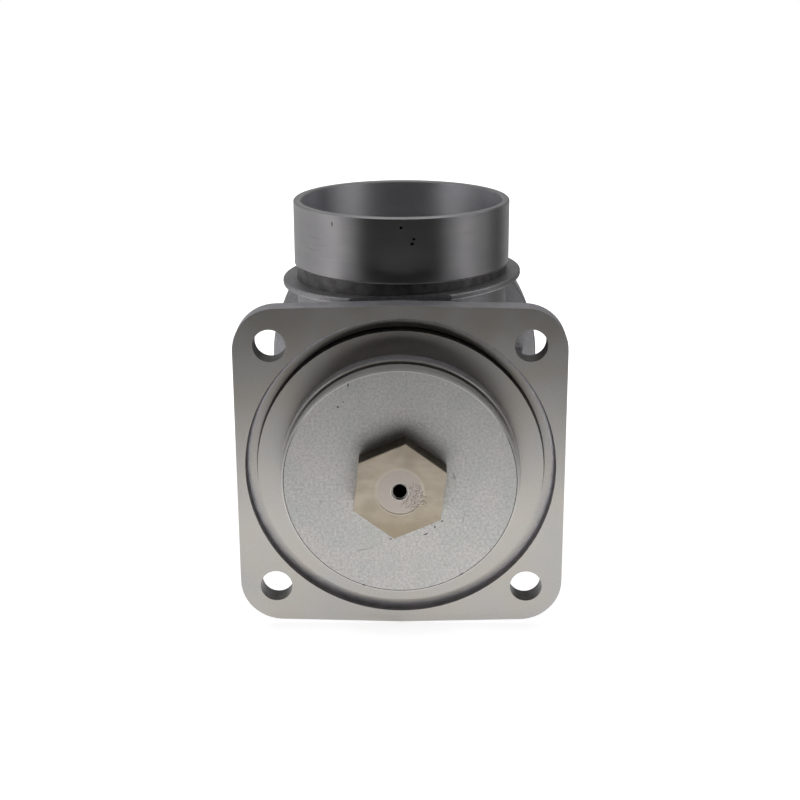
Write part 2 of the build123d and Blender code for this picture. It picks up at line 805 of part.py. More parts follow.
with BuildPart() as piston_guide_ring:
    with BuildSketch(Plane.XY):
        section(
            guide_ring_bore_d,
            cylinder_bore_d - 2 * running_gap,
            guide_ring_front,
            guide_ring_front + guide_ring_width,
        )
    revolve(axis=Axis.Y)
    with BuildSketch(facing_back(guide_ring_front)):
        Rectangle(guide_ring_split, cylinder_bore_d, align=(Align.CENTER, Align.MIN))
    extrude(amount=guide_ring_width, mode=Mode.SUBTRACT)

with BuildPart() as piston_seal:
    with BuildSketch(Plane.XY):
        section(
            piston_seal_bore_d,
            cylinder_bore_d - 2 * lip_gap,
            piston_seal_back - piston_seal_width,
            piston_seal_back,
        )
        with Locations(((piston_seal_bore_d + cylinder_bore_d) / 4, piston_seal_back)):
            RegularPolygon(seal_notch_r, 3, rotation=-90, mode=Mode.SUBTRACT)
    revolve(axis=Axis.Y)

with BuildPart() as hub_o_ring:
    with BuildSketch(Plane.XY):
        section(
            stem_thread_d,
            stem_thread_d + 2 * hub_ring_cord,
            hub_ring_front,
            hub_ring_front + hub_ring_cord,
        )
        fillet(vertices(), hub_ring_corner_r)
    revolve(axis=Axis.Y)

with BuildPart() as buffer_ring:
    with BuildSketch(Plane.XY):
        section(stem_d + 2 * hole_gap, piston_hub_d, hub_front - buffer_thickness, hub_front)
        fillet(corner(piston_hub_d, hub_front - buffer_thickness), buffer_corner_r)
    revolve(axis=Axis.Y)

with BuildPart() as piston_washer:
    with BuildSketch(Plane.XY):
        section(stem_thread_d + 2 * hole_gap, piston_washer_d, hub_back, piston_washer_back)
    revolve(axis=Axis.Y)

with BuildPart() as piston_nut:
    with BuildSketch(facing_back(piston_washer_back)):
        RegularPolygon(piston_nut_hex / 2, 6, major_radius=False)
        Circle(stem_thread_d / 2, mode=Mode.SUBTRACT)
    extrude(amount=piston_nut_height)

pieces = {
    "valve_body": valve_body,
    "rear_cover": rear_cover,
    "cover_o_ring": cover_o_ring,
    "cover_washers": cover_washers,
    "cover_screws": cover_screws,
    "port_plugs": port_plugs,
    "plug_washers": plug_washers,
    "breather_body": breather_body,
    "breather_element": breather_element,
    "guide_bush": guide_bush,
    "stem_seal": stem_seal,
    "seal_circlip": seal_circlip,
    "return_spring": return_spring,
    "valve_plate": valve_plate,
    "valve_seal_disc": valve_seal_disc,
    "seal_retainer": seal_retainer,
    "valve_bolt": valve_bolt,
    "valve_stem": valve_stem,
    "piston": piston,
    "piston_guide_ring": piston_guide_ring,
    "piston_seal": piston_seal,
    "hub_o_ring": hub_o_ring,
    "buffer_ring": buffer_ring,
    "piston_washer": piston_washer,
    "piston_nut": piston_nut,
}

os.makedirs("parts", exist_ok=True)
for name, piece in pieces.items():
    piece.part.label = name
    export_step(piece.part, f"parts/{name}.step")
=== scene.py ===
"""Looks of the air compressor intake valve: finishes, fine detail, floor, light and camera.

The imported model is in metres: +Z up along the inlet pipe, -Y out of the mounting flange, the origin at
the centre of the flange's face. Lengths here are written in millimetres and turned to metres by MM.
"""
import json
import math

import bmesh
import bpy
from mathutils import Matrix, Vector

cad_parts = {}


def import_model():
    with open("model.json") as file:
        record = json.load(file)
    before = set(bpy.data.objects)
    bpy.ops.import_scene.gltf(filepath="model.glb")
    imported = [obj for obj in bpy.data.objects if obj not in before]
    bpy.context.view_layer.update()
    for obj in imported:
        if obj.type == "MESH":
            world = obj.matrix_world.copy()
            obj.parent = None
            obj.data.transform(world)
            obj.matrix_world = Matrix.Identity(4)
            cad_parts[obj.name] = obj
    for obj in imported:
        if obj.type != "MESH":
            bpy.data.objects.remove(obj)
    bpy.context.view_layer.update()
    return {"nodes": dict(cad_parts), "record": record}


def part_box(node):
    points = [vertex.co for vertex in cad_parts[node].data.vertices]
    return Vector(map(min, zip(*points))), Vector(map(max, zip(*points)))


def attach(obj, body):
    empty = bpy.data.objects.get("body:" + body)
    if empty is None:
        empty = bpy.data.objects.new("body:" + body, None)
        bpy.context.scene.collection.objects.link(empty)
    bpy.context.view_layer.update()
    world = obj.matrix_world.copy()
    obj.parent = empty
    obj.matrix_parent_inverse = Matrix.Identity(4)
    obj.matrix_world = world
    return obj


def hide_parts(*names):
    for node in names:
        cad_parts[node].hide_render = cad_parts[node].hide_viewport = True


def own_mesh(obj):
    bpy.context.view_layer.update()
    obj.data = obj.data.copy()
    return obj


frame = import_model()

MM = 0.001

# Camera of the photograph, fitted to the flange's holes and groove
CAMERA_PLACE = Vector((7.6, -557.5, 208.5)) * MM
CAMERA_TARGET = Vector((-0.09, 0.0, 28.95)) * MM
CAMERA_LENS = 67.1
CAMERA_ROLL = math.radians(-0.25)
CAMERA_NEAR = 10.0 * MM

# What the frame says of the pieces
mounts = {mount["name"]: mount for mount in frame["record"]["mounts"]}
slots = {part["node"]: part["material_slot"] for part in frame["record"]["subparts"]}
body_of = {node: body for body, nodes in frame["record"]["behaviour"]["bodies"].items() for node in nodes}
CASTING_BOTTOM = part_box("valve_body")[0].z
CASTING_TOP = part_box("valve_body")[1].z

# How a face or an edge is picked: how near its place it lies, and the share of its normal that lies along
# the valve axis, from nearly all where it looks along the axis to next to none on a wall
HAIR = 0.05 * MM
FACES_ALONG = 0.99
EDGE_LEANS = 0.95
WALL_LEANS = 0.1

# Valve plate: its face ends in a chamfer, with a thin line beside it that is painted shade below and a
# painted highlight above
PLATE_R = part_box("valve_plate")[1].z
PLATE_CHAMFER = 0.6 * MM
PLATE_FACE_R = PLATE_R - PLATE_CHAMFER
PLATE_LINE_R = PLATE_FACE_R - 0.15 * MM
PLATE_LINE_WIDTH = 0.35 * MM
PLATE_LINE_DARK_Z = 15.0 * MM
PLATE_LINE_BRIGHT_Z = 30.0 * MM

# Hexagon: its front is browner below and has a turned facing, an orifice painted black inside as shade with
# a painted highlight on its edge, and pits; its sides are painted darker as shade
HEX_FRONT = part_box("valve_bolt")[0].y
HEX_SIDE_SHADE_BLEND = 0.3 * MM
HEX_BROWN_FROM_Z = -5.0 * MM
HEX_BROWN_TO_Z = -16.0 * MM
FACING_R = 9.25 * MM
FACING_HALO = 0.7 * MM
FACING_BLEND = 1.0 * MM
ORIFICE_R = 2.6 * MM
ORIFICE_EDGE_R = 3.45 * MM
ORIFICE_EDGE_BLEND = 0.2 * MM
PITS_CENTRE = Vector((5.2, -24.75, -2.2)) * MM
PITS_REACH = 13.0 * MM
PITS_CORE = 4.0 * MM

# Flange, with its bolt holes, face groove and seat
BOLT_HOLE_R = mounts["airend_flange"]["dims"]["hole_r_mm"] * MM
BOLT_OFFSET = mounts["airend_flange"]["dims"]["spacing_x_mm"] / 2 * MM
FLANGE_THICKNESS = 10.0 * MM
SPOT_FACE_R = 12.5 * MM
GROOVE_R = 62.0 * MM
GROOVE_WIDTH = 5.0 * MM
GROOVE_DEPTH = 4.5 * MM
GROOVE_CORNER_R = 1.5 * MM
LAND_R = GROOVE_R - GROOVE_WIDTH
# Width of the painted shade where the groove's floor meets the land
CORNER_SHADE_WIDTH = 0.7 * MM
SEAT_R = PLATE_R + 1.3 * MM
BEYOND_GROOVE_R = GROOVE_R + 1.0 * MM

# Inlet pipe: a turned spigot above a neck that is left as cast, and the seam of the mould on its trunk
INLET_Y = mounts["inlet_spigot"]["pos_m"][1]
SPIGOT_R = mounts["inlet_spigot"]["dims"]["r_mm"] * MM
SPIGOT_LENGTH = mounts["inlet_spigot"]["dims"]["length_mm"] * MM
SPIGOT_CHAMFER = 0.5 * MM
SPIGOT_BOTTOM = CASTING_TOP - SPIGOT_LENGTH - SPIGOT_CHAMFER
# Width of the painted highlight along the spigot's lower edge
SPIGOT_HIGHLIGHT_EDGE = 0.5 * MM
SPIGOT_BORE_R = 42.0 * MM
SPIGOT_BORE_DEPTH = 29.0 * MM
NECK_LENGTH = 6.5 * MM
SEAM_WIDTH = 0.5 * MM

# Marks of tools, drawn coarser than a real feed of about 0.2 mm, so that they show
FACING_FEED = 0.9 * MM
TURNING_FEED = 0.7 * MM
BORING_FEED = 0.6 * MM
SPIGOT_FEED = 0.5 * MM

# Between these values lies most of a soft pattern
PATTERN_LOW = 0.3
PATTERN_HIGH = 0.7

# Wear seen in the photograph. Each mark is its centre and its half sizes along X, Y and Z, in mm, and its
# turn about Y in degrees.
PIPE_PITS = [
    ((0.4, 14.7, 94.5), (0.8, 1.0, 0.7), 0),
    ((5.4, 15.0, 90.0), (0.8, 1.0, 0.7), 0),
    ((4.7, 14.9, 88.1), (0.95, 1.0, 0.8), 0),
    ((-27.0, 23.7, 94.3), (0.3, 0.6, 1.3), 0),
]
PIPE_SCRATCHES = [
    ((-34.5, 30.8, 87.4), (6.0, 6.0, 0.16), 4),
    ((-31.0, 27.2, 85.1), (5.0, 5.0, 0.14), -3),
    ((-36.5, 33.5, 82.4), (6.0, 6.0, 0.18), 6),
    ((-29.0, 25.4, 80.6), (4.0, 4.0, 0.13), 0),
    ((-38.0, 35.8, 79.3), (3.5, 4.0, 0.2), 8),
    ((27.0, 23.7, 90.4), (4.0, 4.0, 0.12), -2),
]
PLATE_NICKS = [
    ((-19.6, -16, 40.1), (0.35, 0.6, 1.1), 8),
    ((-23.6, -16, 31.3), (0.55, 0.6, 0.5), 0),
    ((-21.6, -16, 33.3), (0.35, 0.6, 0.3), 0),
    ((-14.6, -16, -43.2), (0.95, 0.8, 0.5), 25),
    ((24.3, -16, -38.3), (1.3, 0.6, 0.35), -35),
    ((16.4, -16, -15.7), (0.5, 0.6, 0.4), -50),
    ((13.6, -16, -18.2), (0.55, 0.6, 0.4), -40),
    ((10.1, -16, -21.2), (1.1, 0.6, 0.35), -25),
    ((-3.7, -16, -23.3), (0.6, 0.6, 0.35), 0),
]
PLATE_SCRATCHES = [
    ((-14.6, -16, -27.8), (3.8, 0.6, 0.28), -13),
    ((-11.5, -16, -26.9), (1.6, 0.6, 0.2), -30),
    ((8.5, -16, 24.0), (3.0, 0.6, 0.16), 38),
    ((25.0, -16, -14.0), (0.2, 0.6, 3.2), 12),
    ((21.0, -16, 3.0), (0.5, 0.6, 2.2), -15),
    ((-31.0, -16, -8.0), (0.15, 0.6, 3.6), 20),
]

# Cover screws: M6 socket heads on a circle, each left at its own turn
SCREW_COUNT = 8
SCREW_CIRCLE_R = 58.0 * MM
SCREW_START = math.pi / SCREW_COUNT
SCREW_TURN_SEED = 4
SCREW_SIDES = 96
WASHER_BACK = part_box("cover_washers")[1].y
SHANK_R = 3.0 * MM
SHANK_LENGTH = 18.4 * MM
SHANK_POINT_R = 2.3 * MM
SHANK_POINT_LENGTH = 0.5 * MM
HEAD_R = 4.8 * MM
HEAD_HEIGHT = 6.0 * MM
HEAD_CHAMFER = 0.3 * MM
KNURL_R = 5.0 * MM
KNURL_BOTTOM = 0.2 * MM
KNURL_TOP = 5.2 * MM
KNURL_CHAMFER = 0.15 * MM
KNURL_DEPTH = 0.12 * MM
KEY_R = 2.5 * MM
SOCKET_CHAMFER = 0.2 * MM
SOCKET_FLOOR = 3.2 * MM
DRILL_R = 2.4 * MM
DRILL_POINT = 0.6 * MM
DRILL_TIP_R = 0.05 * MM

# Return spring: its end coils lie closed and are ground flat
SPRING_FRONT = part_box("return_spring")[0].y
SPRING_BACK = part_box("return_spring")[1].y
SPRING_R = 29.0 * MM
SPRING_WIRE_R = 2.0 * MM
SPRING_WIRE_SIDES = 16
SPRING_CLOSED_COILS = 1.0
SPRING_OPEN_COILS = 4.0
SPRING_COILS = 2 * SPRING_CLOSED_COILS + SPRING_OPEN_COILS
SPRING_STEPS_A_COIL = 72
SPRING_CLOSED_PITCH = 4.1 * MM
SPRING_GROUND = 1.0 * MM

# Control port in the cover: a G1/4 female thread, 19 turns to the inch, joined to the hole by two seams
PORT_Z = mounts["control_port"]["pos_m"][2]
PORT_CORE_R = mounts["control_port"]["dims"]["r_mm"] * MM
PORT_LENGTH = mounts["control_port"]["dims"]["length_mm"] * MM
PORT_FLOOR = mounts["control_port"]["pos_m"][1] - PORT_LENGTH / 2
PORT_MOUTH = PORT_FLOOR + PORT_LENGTH
PORT_COUNTERSINK = 0.9 * MM
PORT_EDGE = PORT_MOUTH - PORT_COUNTERSINK
PORT_SEAM = 0.02 * MM
THREAD_PITCH = 1.337 * MM
THREAD_DEPTH = 0.856 * MM
THREAD_RUN_OUT = 1.0 * MM
THREAD_LENGTH = PORT_EDGE - PORT_FLOOR - 2 * PORT_SEAM
THREAD_SIDES = 96
THREAD_STEPS = 160
THREAD_FLAT = 0.8

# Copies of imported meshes: how near the doubles lie that are merged, and where edges are drawn sharp
MERGE_REACH = 0.0005 * MM
KEPT_NORMAL = "kept_normal"
SHARP_FROM = math.radians(25)

# White room and floor
AMBIENT = 0.6
FLOOR_SIZE = 6000 * MM
FLOOR_GLOW = 0.98
SHADOW_DEPTH = 0.35
SHADOW_REACH = 25 * MM
SHADOW_R = 235 * MM

# A round black net curtain about the object, which gives bare metal its dark sides. Each point is a side,
# in degrees from the front towards +X, how much of the light the net keeps off there, and its top in mm.
CURTAIN = [
    (-180, 0.60, 260), (-150, 0.66, 260), (-112, 0.62, 180), (-83, 0.46, 140), (-62, 0.72, 200),
    (-45, 0.985, 450), (45, 0.985, 450), (62, 0.78, 200), (76, 0.60, 140), (98, 0.78, 150),
    (125, 0.93, 220), (150, 0.75, 260), (180, 0.60, 260),
]
CURTAIN_R = 235 * MM
CURTAIN_FOOT = CASTING_BOTTOM + 1.0 * MM
CURTAIN_SEGMENTS = 96

# Black nets laid level over the object. Each is its name, where it starts and ends along Y, and how much
# of the light it keeps off.
TOP_NETS = [("front", -320 * MM, -40 * MM, 0.97), ("rear", 20 * MM, 320 * MM, 0.6)]
TOP_NET_HEIGHT = 330 * MM
TOP_NET_WIDTH = 640 * MM

# Lamp on the floor, which lights the lower sides of the flange and the hexagon. Its power is in watts.
LAMP_PLACE = Vector((0, -160, -64)) * MM
LAMP_WIDTH = 320 * MM
LAMP_DEPTH = 180 * MM
LAMP_POWER = 0.085


def linear(code):
    """A hex colour as it is seen on a screen, turned to the linear values that shaders take."""
    values = [int(code[place:place + 2], 16) / 255 for place in (1, 3, 5)]
    return tuple(v / 12.92 if v <= 0.04045 else ((v + 0.055) / 1.055) ** 2.4 for v in values) + (1.0,)


def add(tree, kind, inputs=None, **settings):
    """Adds a node with its settings; an input is given a value or linked to the socket that feeds it."""
    node = tree.nodes.new(kind)
    for name, value in settings.items():
        setattr(node, name, value)
    for key, value in (inputs or {}).items():
        if isinstance(value, bpy.types.NodeSocket):
            tree.links.new(value, node.inputs[key])
        else:
            node.inputs[key].default_value = value
    return node


def in_scene(name, data):
    """A new object of the scene."""
    made = bpy.data.objects.new(name, data)
    bpy.context.scene.collection.objects.link(made)
    return made


def bare_tree(owner):
    """The node tree of a material or a world, emptied."""
    owner.use_nodes = True
    owner.node_tree.nodes.clear()
    return owner.node_tree


def new_material(name, metallic, roughness, **sockets):
    """An empty material around one Principled shader, with its constants on the shader's own sockets."""
    material = bpy.data.materials.new(name)
    tree = bare_tree(material)
    shader = add(tree, "ShaderNodeBsdfPrincipled", {"Metallic": metallic, "Roughness": roughness})
    for key, value in sockets.items():
        shader.inputs[key.replace("_", " ")].default_value = value
    add(tree, "ShaderNodeOutputMaterial", {"Surface": shader.outputs["BSDF"]})
    place = add(tree, "ShaderNodeTexCoord").outputs["Object"]
    return material, tree, shader, place


def patches(tree, place, size, detail=2.0, stretch=(1, 1, 1)):
    """Soft patches from 0 to 1 that measure about one size, longer where stretch is larger."""
    scaled = add(tree, "ShaderNodeMapping", {"Vector": place, "Scale": [1 / part for part in stretch]})
    return add(tree, "ShaderNodeTexNoise", {
        "Vector": scaled.outputs["Vector"], "Scale": 1 / size, "Detail": detail,
    }).outputs["Fac"]


def stained(tree, colour, stain, pattern, low=0.35, high=0.65, amount=1.0):
    """A colour that goes over to a stain where a pattern rises from low to high, at most by an amount."""
    cover = add(tree, "ShaderNodeMapRange", {
        "Value": pattern, "From Min": low, "From Max": high, "To Max": amount,
    }, interpolation_type="SMOOTHSTEP")
    # A Mix node's sockets for colours are inputs 6 and 7 and output 2
    mixed = add(tree, "ShaderNodeMix", {0: cover.outputs["Result"], 6: colour, 7: stain}, data_type="RGBA")
    return mixed.outputs[2]


def finished(tree, shader, colour, pattern, roughness, height, depth):
    """Gives the shader its colour, a roughness that goes from the first value to the second where a soft
    pattern rises, and a height that spans a real depth."""
    tree.links.new(colour, shader.inputs["Base Color"])
    smooth, rough = roughness
    worn = add(tree, "ShaderNodeMapRange", {
        "Value": pattern, "From Min": PATTERN_LOW, "From Max": PATTERN_HIGH,
        "To Min": smooth, "To Max": rough,
    })
    tree.links.new(worn.outputs["Result"], shader.inputs["Roughness"])
    relief = add(tree, "ShaderNodeBump", {"Height": height, "Strength": 1.0, "Distance": depth})
    tree.links.new(relief.outputs["Normal"], shader.inputs["Normal"])


def heaped(tree, *layers):
    """One height from several patterns, each times its share."""
    height = 0.0
    for pattern, share in layers:
        height = add(tree, "ShaderNodeMath", {
            0: pattern, 1: share, 2: height,
        }, operation="MULTIPLY_ADD").outputs[0]
    return height


def marks(tree, place, spots):
    """A mask of small marks, each full to half its size and gone at its edge. A spot is the mark's centre
    and half sizes along X, Y and Z, in mm, and its turn about Y in degrees."""
    mask = 0.0
    for centre, half, turn in spots:
        local = add(tree, "ShaderNodeMapping", {
            "Vector": place,
            "Location": [part * MM for part in centre],
            "Rotation": (0, math.radians(turn), 0),
            "Scale": [part * MM for part in half],
        }, vector_type="TEXTURE")
        distance = add(tree, "ShaderNodeVectorMath", {0: local.outputs["Vector"]}, operation="LENGTH")
        spot = add(tree, "ShaderNodeMapRange", {
            "Value": distance.outputs["Value"], "From Min": 1.0, "From Max": 0.5,
        }, interpolation_type="SMOOTHSTEP")
        mask = add(tree, "ShaderNodeMath", {
            0: spot.outputs["Result"], 1: mask,
        }, operation="MAXIMUM").outputs[0]
    return mask


def axis_arrow(tree, place):
    """The arrow from the valve axis to a point."""
    return add(tree, "ShaderNodeVectorMath", {
        0: place, 1: (1, 0, 1),
    }, operation="MULTIPLY").outputs["Vector"]


def valve_radius(tree, place):
    """Distance of a point from the valve axis."""
    return add(tree, "ShaderNodeVectorMath", {
        0: axis_arrow(tree, place),
    }, operation="LENGTH").outputs["Value"]


def ring_marks(tree, radius, feed):
    """Turning marks on a face: noise that changes with the radius alone."""
    across = add(tree, "ShaderNodeCombineXYZ", {"X": radius})
    return add(tree, "ShaderNodeTexNoise", {
        "Vector": across.outputs["Vector"], "Scale": 1 / feed, "Detail": 3.0,
    }).outputs["Fac"]


def cast_aluminium():
    """Sand-cast aluminium, shot blasted: an even satin grey, a fine grain and a dressed seam where the
    mould halves met."""
    material, tree, shader, place = new_material("shot_blasted_cast_aluminium", 1.0, 0.5)
    clouds = patches(tree, place, 14 * MM, detail=3)
    grain = patches(tree, place, 0.8 * MM, detail=3)
    side = add(tree, "ShaderNodeSeparateXYZ", {0: place}).outputs["X"]
    from_seam = add(tree, "ShaderNodeMath", {0: side}, operation="ABSOLUTE").outputs[0]
    seam = add(tree, "ShaderNodeMapRange", {
        "Value": from_seam, "From Min": SEAM_WIDTH, "From Max": 0.0,
    }).outputs[0]
    colour = stained(tree, linear("#b4b3b5"), linear("#bdbbbe"), clouds)
    colour = stained(tree, colour, linear("#9b9a9c"), grain, high=0.7, amount=0.45)
    colour = stained(tree, colour, linear("#aeadae"), seam, low=0.2, high=1.0, amount=0.6)
    height = heaped(tree, (grain, 0.4), (clouds, 0.3), (seam, 0.6))
    finished(tree, shader, colour, grain, (0.44, 0.58), height, depth=0.16 * MM)
    return material


def faced_aluminium():
    """Aluminium faced on a lathe: matt and slightly warm, its ring marks only just there, with a line of
    painted shade where the groove's floor meets the land."""
    material, tree, shader, place = new_material("faced_aluminium", 1.0, 0.4)
    radius = valve_radius(tree, place)
    rings = ring_marks(tree, radius, FACING_FEED)
    clouds = patches(tree, place, 18 * MM)
    grain = patches(tree, place, 0.6 * MM, detail=1)
    depth = add(tree, "ShaderNodeSeparateXYZ", {0: place}).outputs["Y"]
    beside_land = add(tree, "ShaderNodeMath", {
        0: radius, 1: LAND_R, 2: CORNER_SHADE_WIDTH,
    }, operation="COMPARE")
    below_face = add(tree, "ShaderNodeMath", {0: depth, 1: HAIR}, operation="GREATER_THAN")
    corner_shade = add(tree, "ShaderNodeMath", {
        0: beside_land.outputs[0], 1: below_face.outputs[0],
    }, operation="MULTIPLY").outputs[0]
    colour = stained(tree, linear("#c0bbb4"), linear("#c1bfbc"), clouds)
    colour = stained(tree, colour, linear("#9f9c97"), grain, high=0.7, amount=0.2)
    # Painted shade in the groove's inner corner, below the face
    colour = stained(tree, colour, linear("#3a3835"), corner_shade, low=0.0, high=1.0, amount=0.8)
    finished(tree, shader, colour, clouds, (0.40, 0.46), rings, depth=0.004 * MM)
    return material


def turned_spigot():
    """Aluminium turned round the pipe: its light drawn out a little by fine tool marks, a painted highlight
    along its lower edge, which a bump also rounds, a few pits of the casting laid open, and the scratches of
    hoses pushed on."""
    material, tree, shader, place = new_material("turned_aluminium_spigot", 1.0, 0.3, Anisotropic=0.1)
    upwards = add(tree, "ShaderNodeCombineXYZ", {"Z": 1.0})
    tree.links.new(upwards.outputs["Vector"], shader.inputs["Tangent"])
    lines = patches(tree, place, SPIGOT_FEED, stretch=(60, 60, 1))
    clouds = patches(tree, place, 9 * MM, detail=3, stretch=(2, 2, 1))
    scratches = marks(tree, place, PIPE_SCRATCHES)
    pits = marks(tree, place, PIPE_PITS)
    height_up = add(tree, "ShaderNodeSeparateXYZ", {0: place}).outputs["Z"]
    edge = add(tree, "ShaderNodeMapRange", {
        "Value": height_up, "From Min": SPIGOT_BOTTOM + SPIGOT_HIGHLIGHT_EDGE, "From Max": SPIGOT_BOTTOM,
    }).outputs["Result"]
    colour = stained(tree, linear("#aeacaf"), linear("#b5b3b4"), clouds)
    colour = stained(tree, colour, linear("#969598"), lines, low=0.3, high=0.7, amount=0.15)
    # Painted highlight along the spigot's lower edge
    colour = stained(tree, colour, linear("#d8d7d6"), edge, low=0.0, high=0.6)
    colour = stained(tree, colour, linear("#6b6a6c"), scratches, low=0.0, high=1.0, amount=0.4)
    colour = stained(tree, colour, linear("#0c0c0d"), pits, low=0.0, high=1.0)
    height = heaped(tree, (lines, 0.005), (pits, -0.05), (scratches, -0.12), (edge, -3.0))
    finished(tree, shader, colour, lines, (0.29, 0.32), height, depth=0.12 * MM)
    return material


def bored_spigot():
    """Aluminium bored round the pipe with a coarser feed, which draws the light far out along it."""
    material, tree, shader, place = new_material("bored_aluminium_spigot", 1.0, 0.42, Anisotropic=0.85)
    upwards = add(tree, "ShaderNodeCombineXYZ", {"Z": 1.0})
    tree.links.new(upwards.outputs["Vector"], shader.inputs["Tangent"])
    lines = patches(tree, place, BORING_FEED, stretch=(60, 60, 1))
    clouds = patches(tree, place, 9 * MM, stretch=(2, 2, 1))
    colour = stained(tree, linear("#e3e2e6"), linear("#dcdbe0"), clouds)
    finished(tree, shader, colour, lines, (0.38, 0.46), heaped(tree, (lines, 0.05)), depth=0.12 * MM)
    return material


def blasted_steel():
    """Mild steel, shot blasted: pale grey, finely grained, with the nicks of a spanner. The grain is drawn
    at a millimetre, about twice its real size, so that it shows."""
    material, tree, shader, place = new_material("shot_blasted_steel", 1.0, 0.6)
    clouds = patches(tree, place, 11 * MM, detail=3)
    grain = patches(tree, place, 1.0 * MM, detail=3)
    scratches = marks(tree, place, PLATE_SCRATCHES)
    nicks = marks(tree, place, PLATE_NICKS)
    radius = valve_radius(tree, place)
    colour = stained(tree, linear("#dddad7"), linear("#d6d6d3"), clouds, low=0.38, high=0.62)
    colour = stained(tree, colour, linear("#bbbab8"), grain, low=0.3, high=0.7, amount=0.5)
    colour = stained(tree, colour, linear("#dad8d5"), radius, PLATE_FACE_R, PLATE_FACE_R + HAIR)
    # Painted light: the plate's side, paler than its face
    colour = stained(tree, colour, linear("#f0eeec"), radius, PLATE_R - 2 * HAIR, PLATE_R - HAIR)
    # Painted shade and highlight: a thin line beside the chamfer, dark below and bright above
    line = add(tree, "ShaderNodeMath", {
        0: radius, 1: PLATE_LINE_R, 2: PLATE_LINE_WIDTH / 2,
    }, operation="COMPARE").outputs[0]
    height_up = add(tree, "ShaderNodeSeparateXYZ", {0: place}).outputs["Z"]
    painted_shade_to_highlight = stained(tree, linear("#4b4947"), linear("#ffffff"), height_up,
                        PLATE_LINE_DARK_Z, PLATE_LINE_BRIGHT_Z)
    colour = stained(tree, colour, painted_shade_to_highlight, line, low=0.0, high=1.0, amount=0.75)
    colour = stained(tree, colour, linear("#6d6c6c"), scratches, low=0.0, high=1.0, amount=0.35)
    colour = stained(tree, colour, linear("#3c3937"), nicks, low=0.0, high=1.0, amount=0.85)
    height = heaped(tree, (grain, 0.5), (nicks, -0.8), (scratches, -0.3))
    finished(tree, shader, colour, grain, (0.52, 0.64), height, depth=0.09 * MM)
    return material


def passivated_steel():
    """Steel with a worn yellow passivation: warm beige, cloudy, thin and pitted on the turned facing."""
    material, tree, shader, place = new_material("yellow_passivated_steel", 1.0, 0.42)
    radius = valve_radius(tree, place)
    bands = patches(tree, place, 5 * MM, stretch=(2.5, 1, 1))
    clouds = patches(tree, place, 8 * MM, detail=1)
    specks = patches(tree, place, 0.6 * MM, detail=1)
    from_pits = add(tree, "ShaderNodeVectorMath", {0: place, 1: PITS_CENTRE}, operation="DISTANCE")
    near_pits = add(tree, "ShaderNodeMapRange", {
        "Value": from_pits.outputs["Value"], "From Min": PITS_REACH, "From Max": PITS_CORE,
    })
    pits = add(tree, "ShaderNodeMath", {
        0: specks, 1: near_pits.outputs[0],
    }, operation="MULTIPLY").outputs[0]
    part = add(tree, "ShaderNodeSeparateXYZ", {0: place}).outputs
    colour = stained(tree, linear("#beb3a3"), linear("#b2a798"), bands, low=0.38, high=0.62)
    colour = stained(tree, colour, linear("#a29887"), clouds, low=0.4, high=0.75, amount=0.6)
    colour = stained(tree, colour, linear("#93876f"), part["Z"],
                     HEX_BROWN_FROM_Z, HEX_BROWN_TO_Z, amount=0.6)
    colour = stained(tree, colour, linear("#cbc2b4"), radius, FACING_R + FACING_HALO, FACING_R, amount=0.6)
    colour = stained(tree, colour, linear("#b9afa8"), radius, FACING_R, FACING_R - FACING_BLEND, amount=0.9)
    colour = stained(tree, colour, linear("#6f6562"), pits, low=0.47, high=0.56, amount=0.5)
    # Painted shade: the hexagon's sides, behind its front face, darker
    colour = stained(tree, colour, linear("#8f8476"), part["Y"],
                     HEX_FRONT + HEX_SIDE_SHADE_BLEND, HEX_FRONT + 2 * HEX_SIDE_SHADE_BLEND)
    # Painted highlight: a bright rim on the orifice's chamfer
    colour = stained(tree, colour, linear("#f4efe8"), radius,
                     ORIFICE_EDGE_R + ORIFICE_EDGE_BLEND, ORIFICE_EDGE_R)
    # Painted shade: the orifice's bore, black
    colour = stained(tree, colour, linear("#0a0a0a"), radius, ORIFICE_R + 2 * HAIR, ORIFICE_R + HAIR)
    height = heaped(tree, (specks, 0.15), (pits, -0.7))
    finished(tree, shader, colour, specks, (0.38, 0.46), height, depth=0.05 * MM)
    return material


def black_rubber():
    """Moulded nitrile rubber: near black, with a dull bloom."""
    material, tree, shader, place = new_material("nitrile_rubber", 0.0, 0.6, Specular_IOR_Level=0.4)
    bloom = patches(tree, place, 2.5 * MM, detail=3)
    skin = patches(tree, place, 0.4 * MM)
    colour = stained(tree, linear("#161617"), linear("#242426"), bloom, low=0.3, high=0.7)
    finished(tree, shader, colour, bloom, (0.55, 0.72), skin, depth=0.01 * MM)
    return material


def turned_aluminium():
    """Aluminium turned about the valve axis: ring marks that draw the light out into a fan."""
    material, tree, shader, place = new_material("turned_aluminium", 1.0, 0.32, Anisotropic=0.55)
    outwards = add(tree, "ShaderNodeVectorMath", {0: axis_arrow(tree, place)}, operation="NORMALIZE")
    tree.links.new(outwards.outputs["Vector"], shader.inputs["Tangent"])
    rings = ring_marks(tree, valve_radius(tree, place), TURNING_FEED)
    clouds = patches(tree, place, 16 * MM)
    colour = stained(tree, linear("#b0b0b1"), linear("#bab9b8"), clouds)
    finished(tree, shader, colour, rings, (0.28, 0.38), rings, depth=0.006 * MM)
    return material


def plain_metal(name, light, dark, roughness, grain, depth):
    """A metal with one finish all over: two tones in soft patches and a fine grain."""
    material, tree, shader, place = new_material(name, 1.0, roughness)
    clouds = patches(tree, place, 5 * MM, detail=3)
    grains = patches(tree, place, grain)
    colour = stained(tree, linear(light), linear(dark), clouds)
    finished(tree, shader, colour, grains, (roughness - 0.05, roughness + 0.06), grains, depth)
    return material


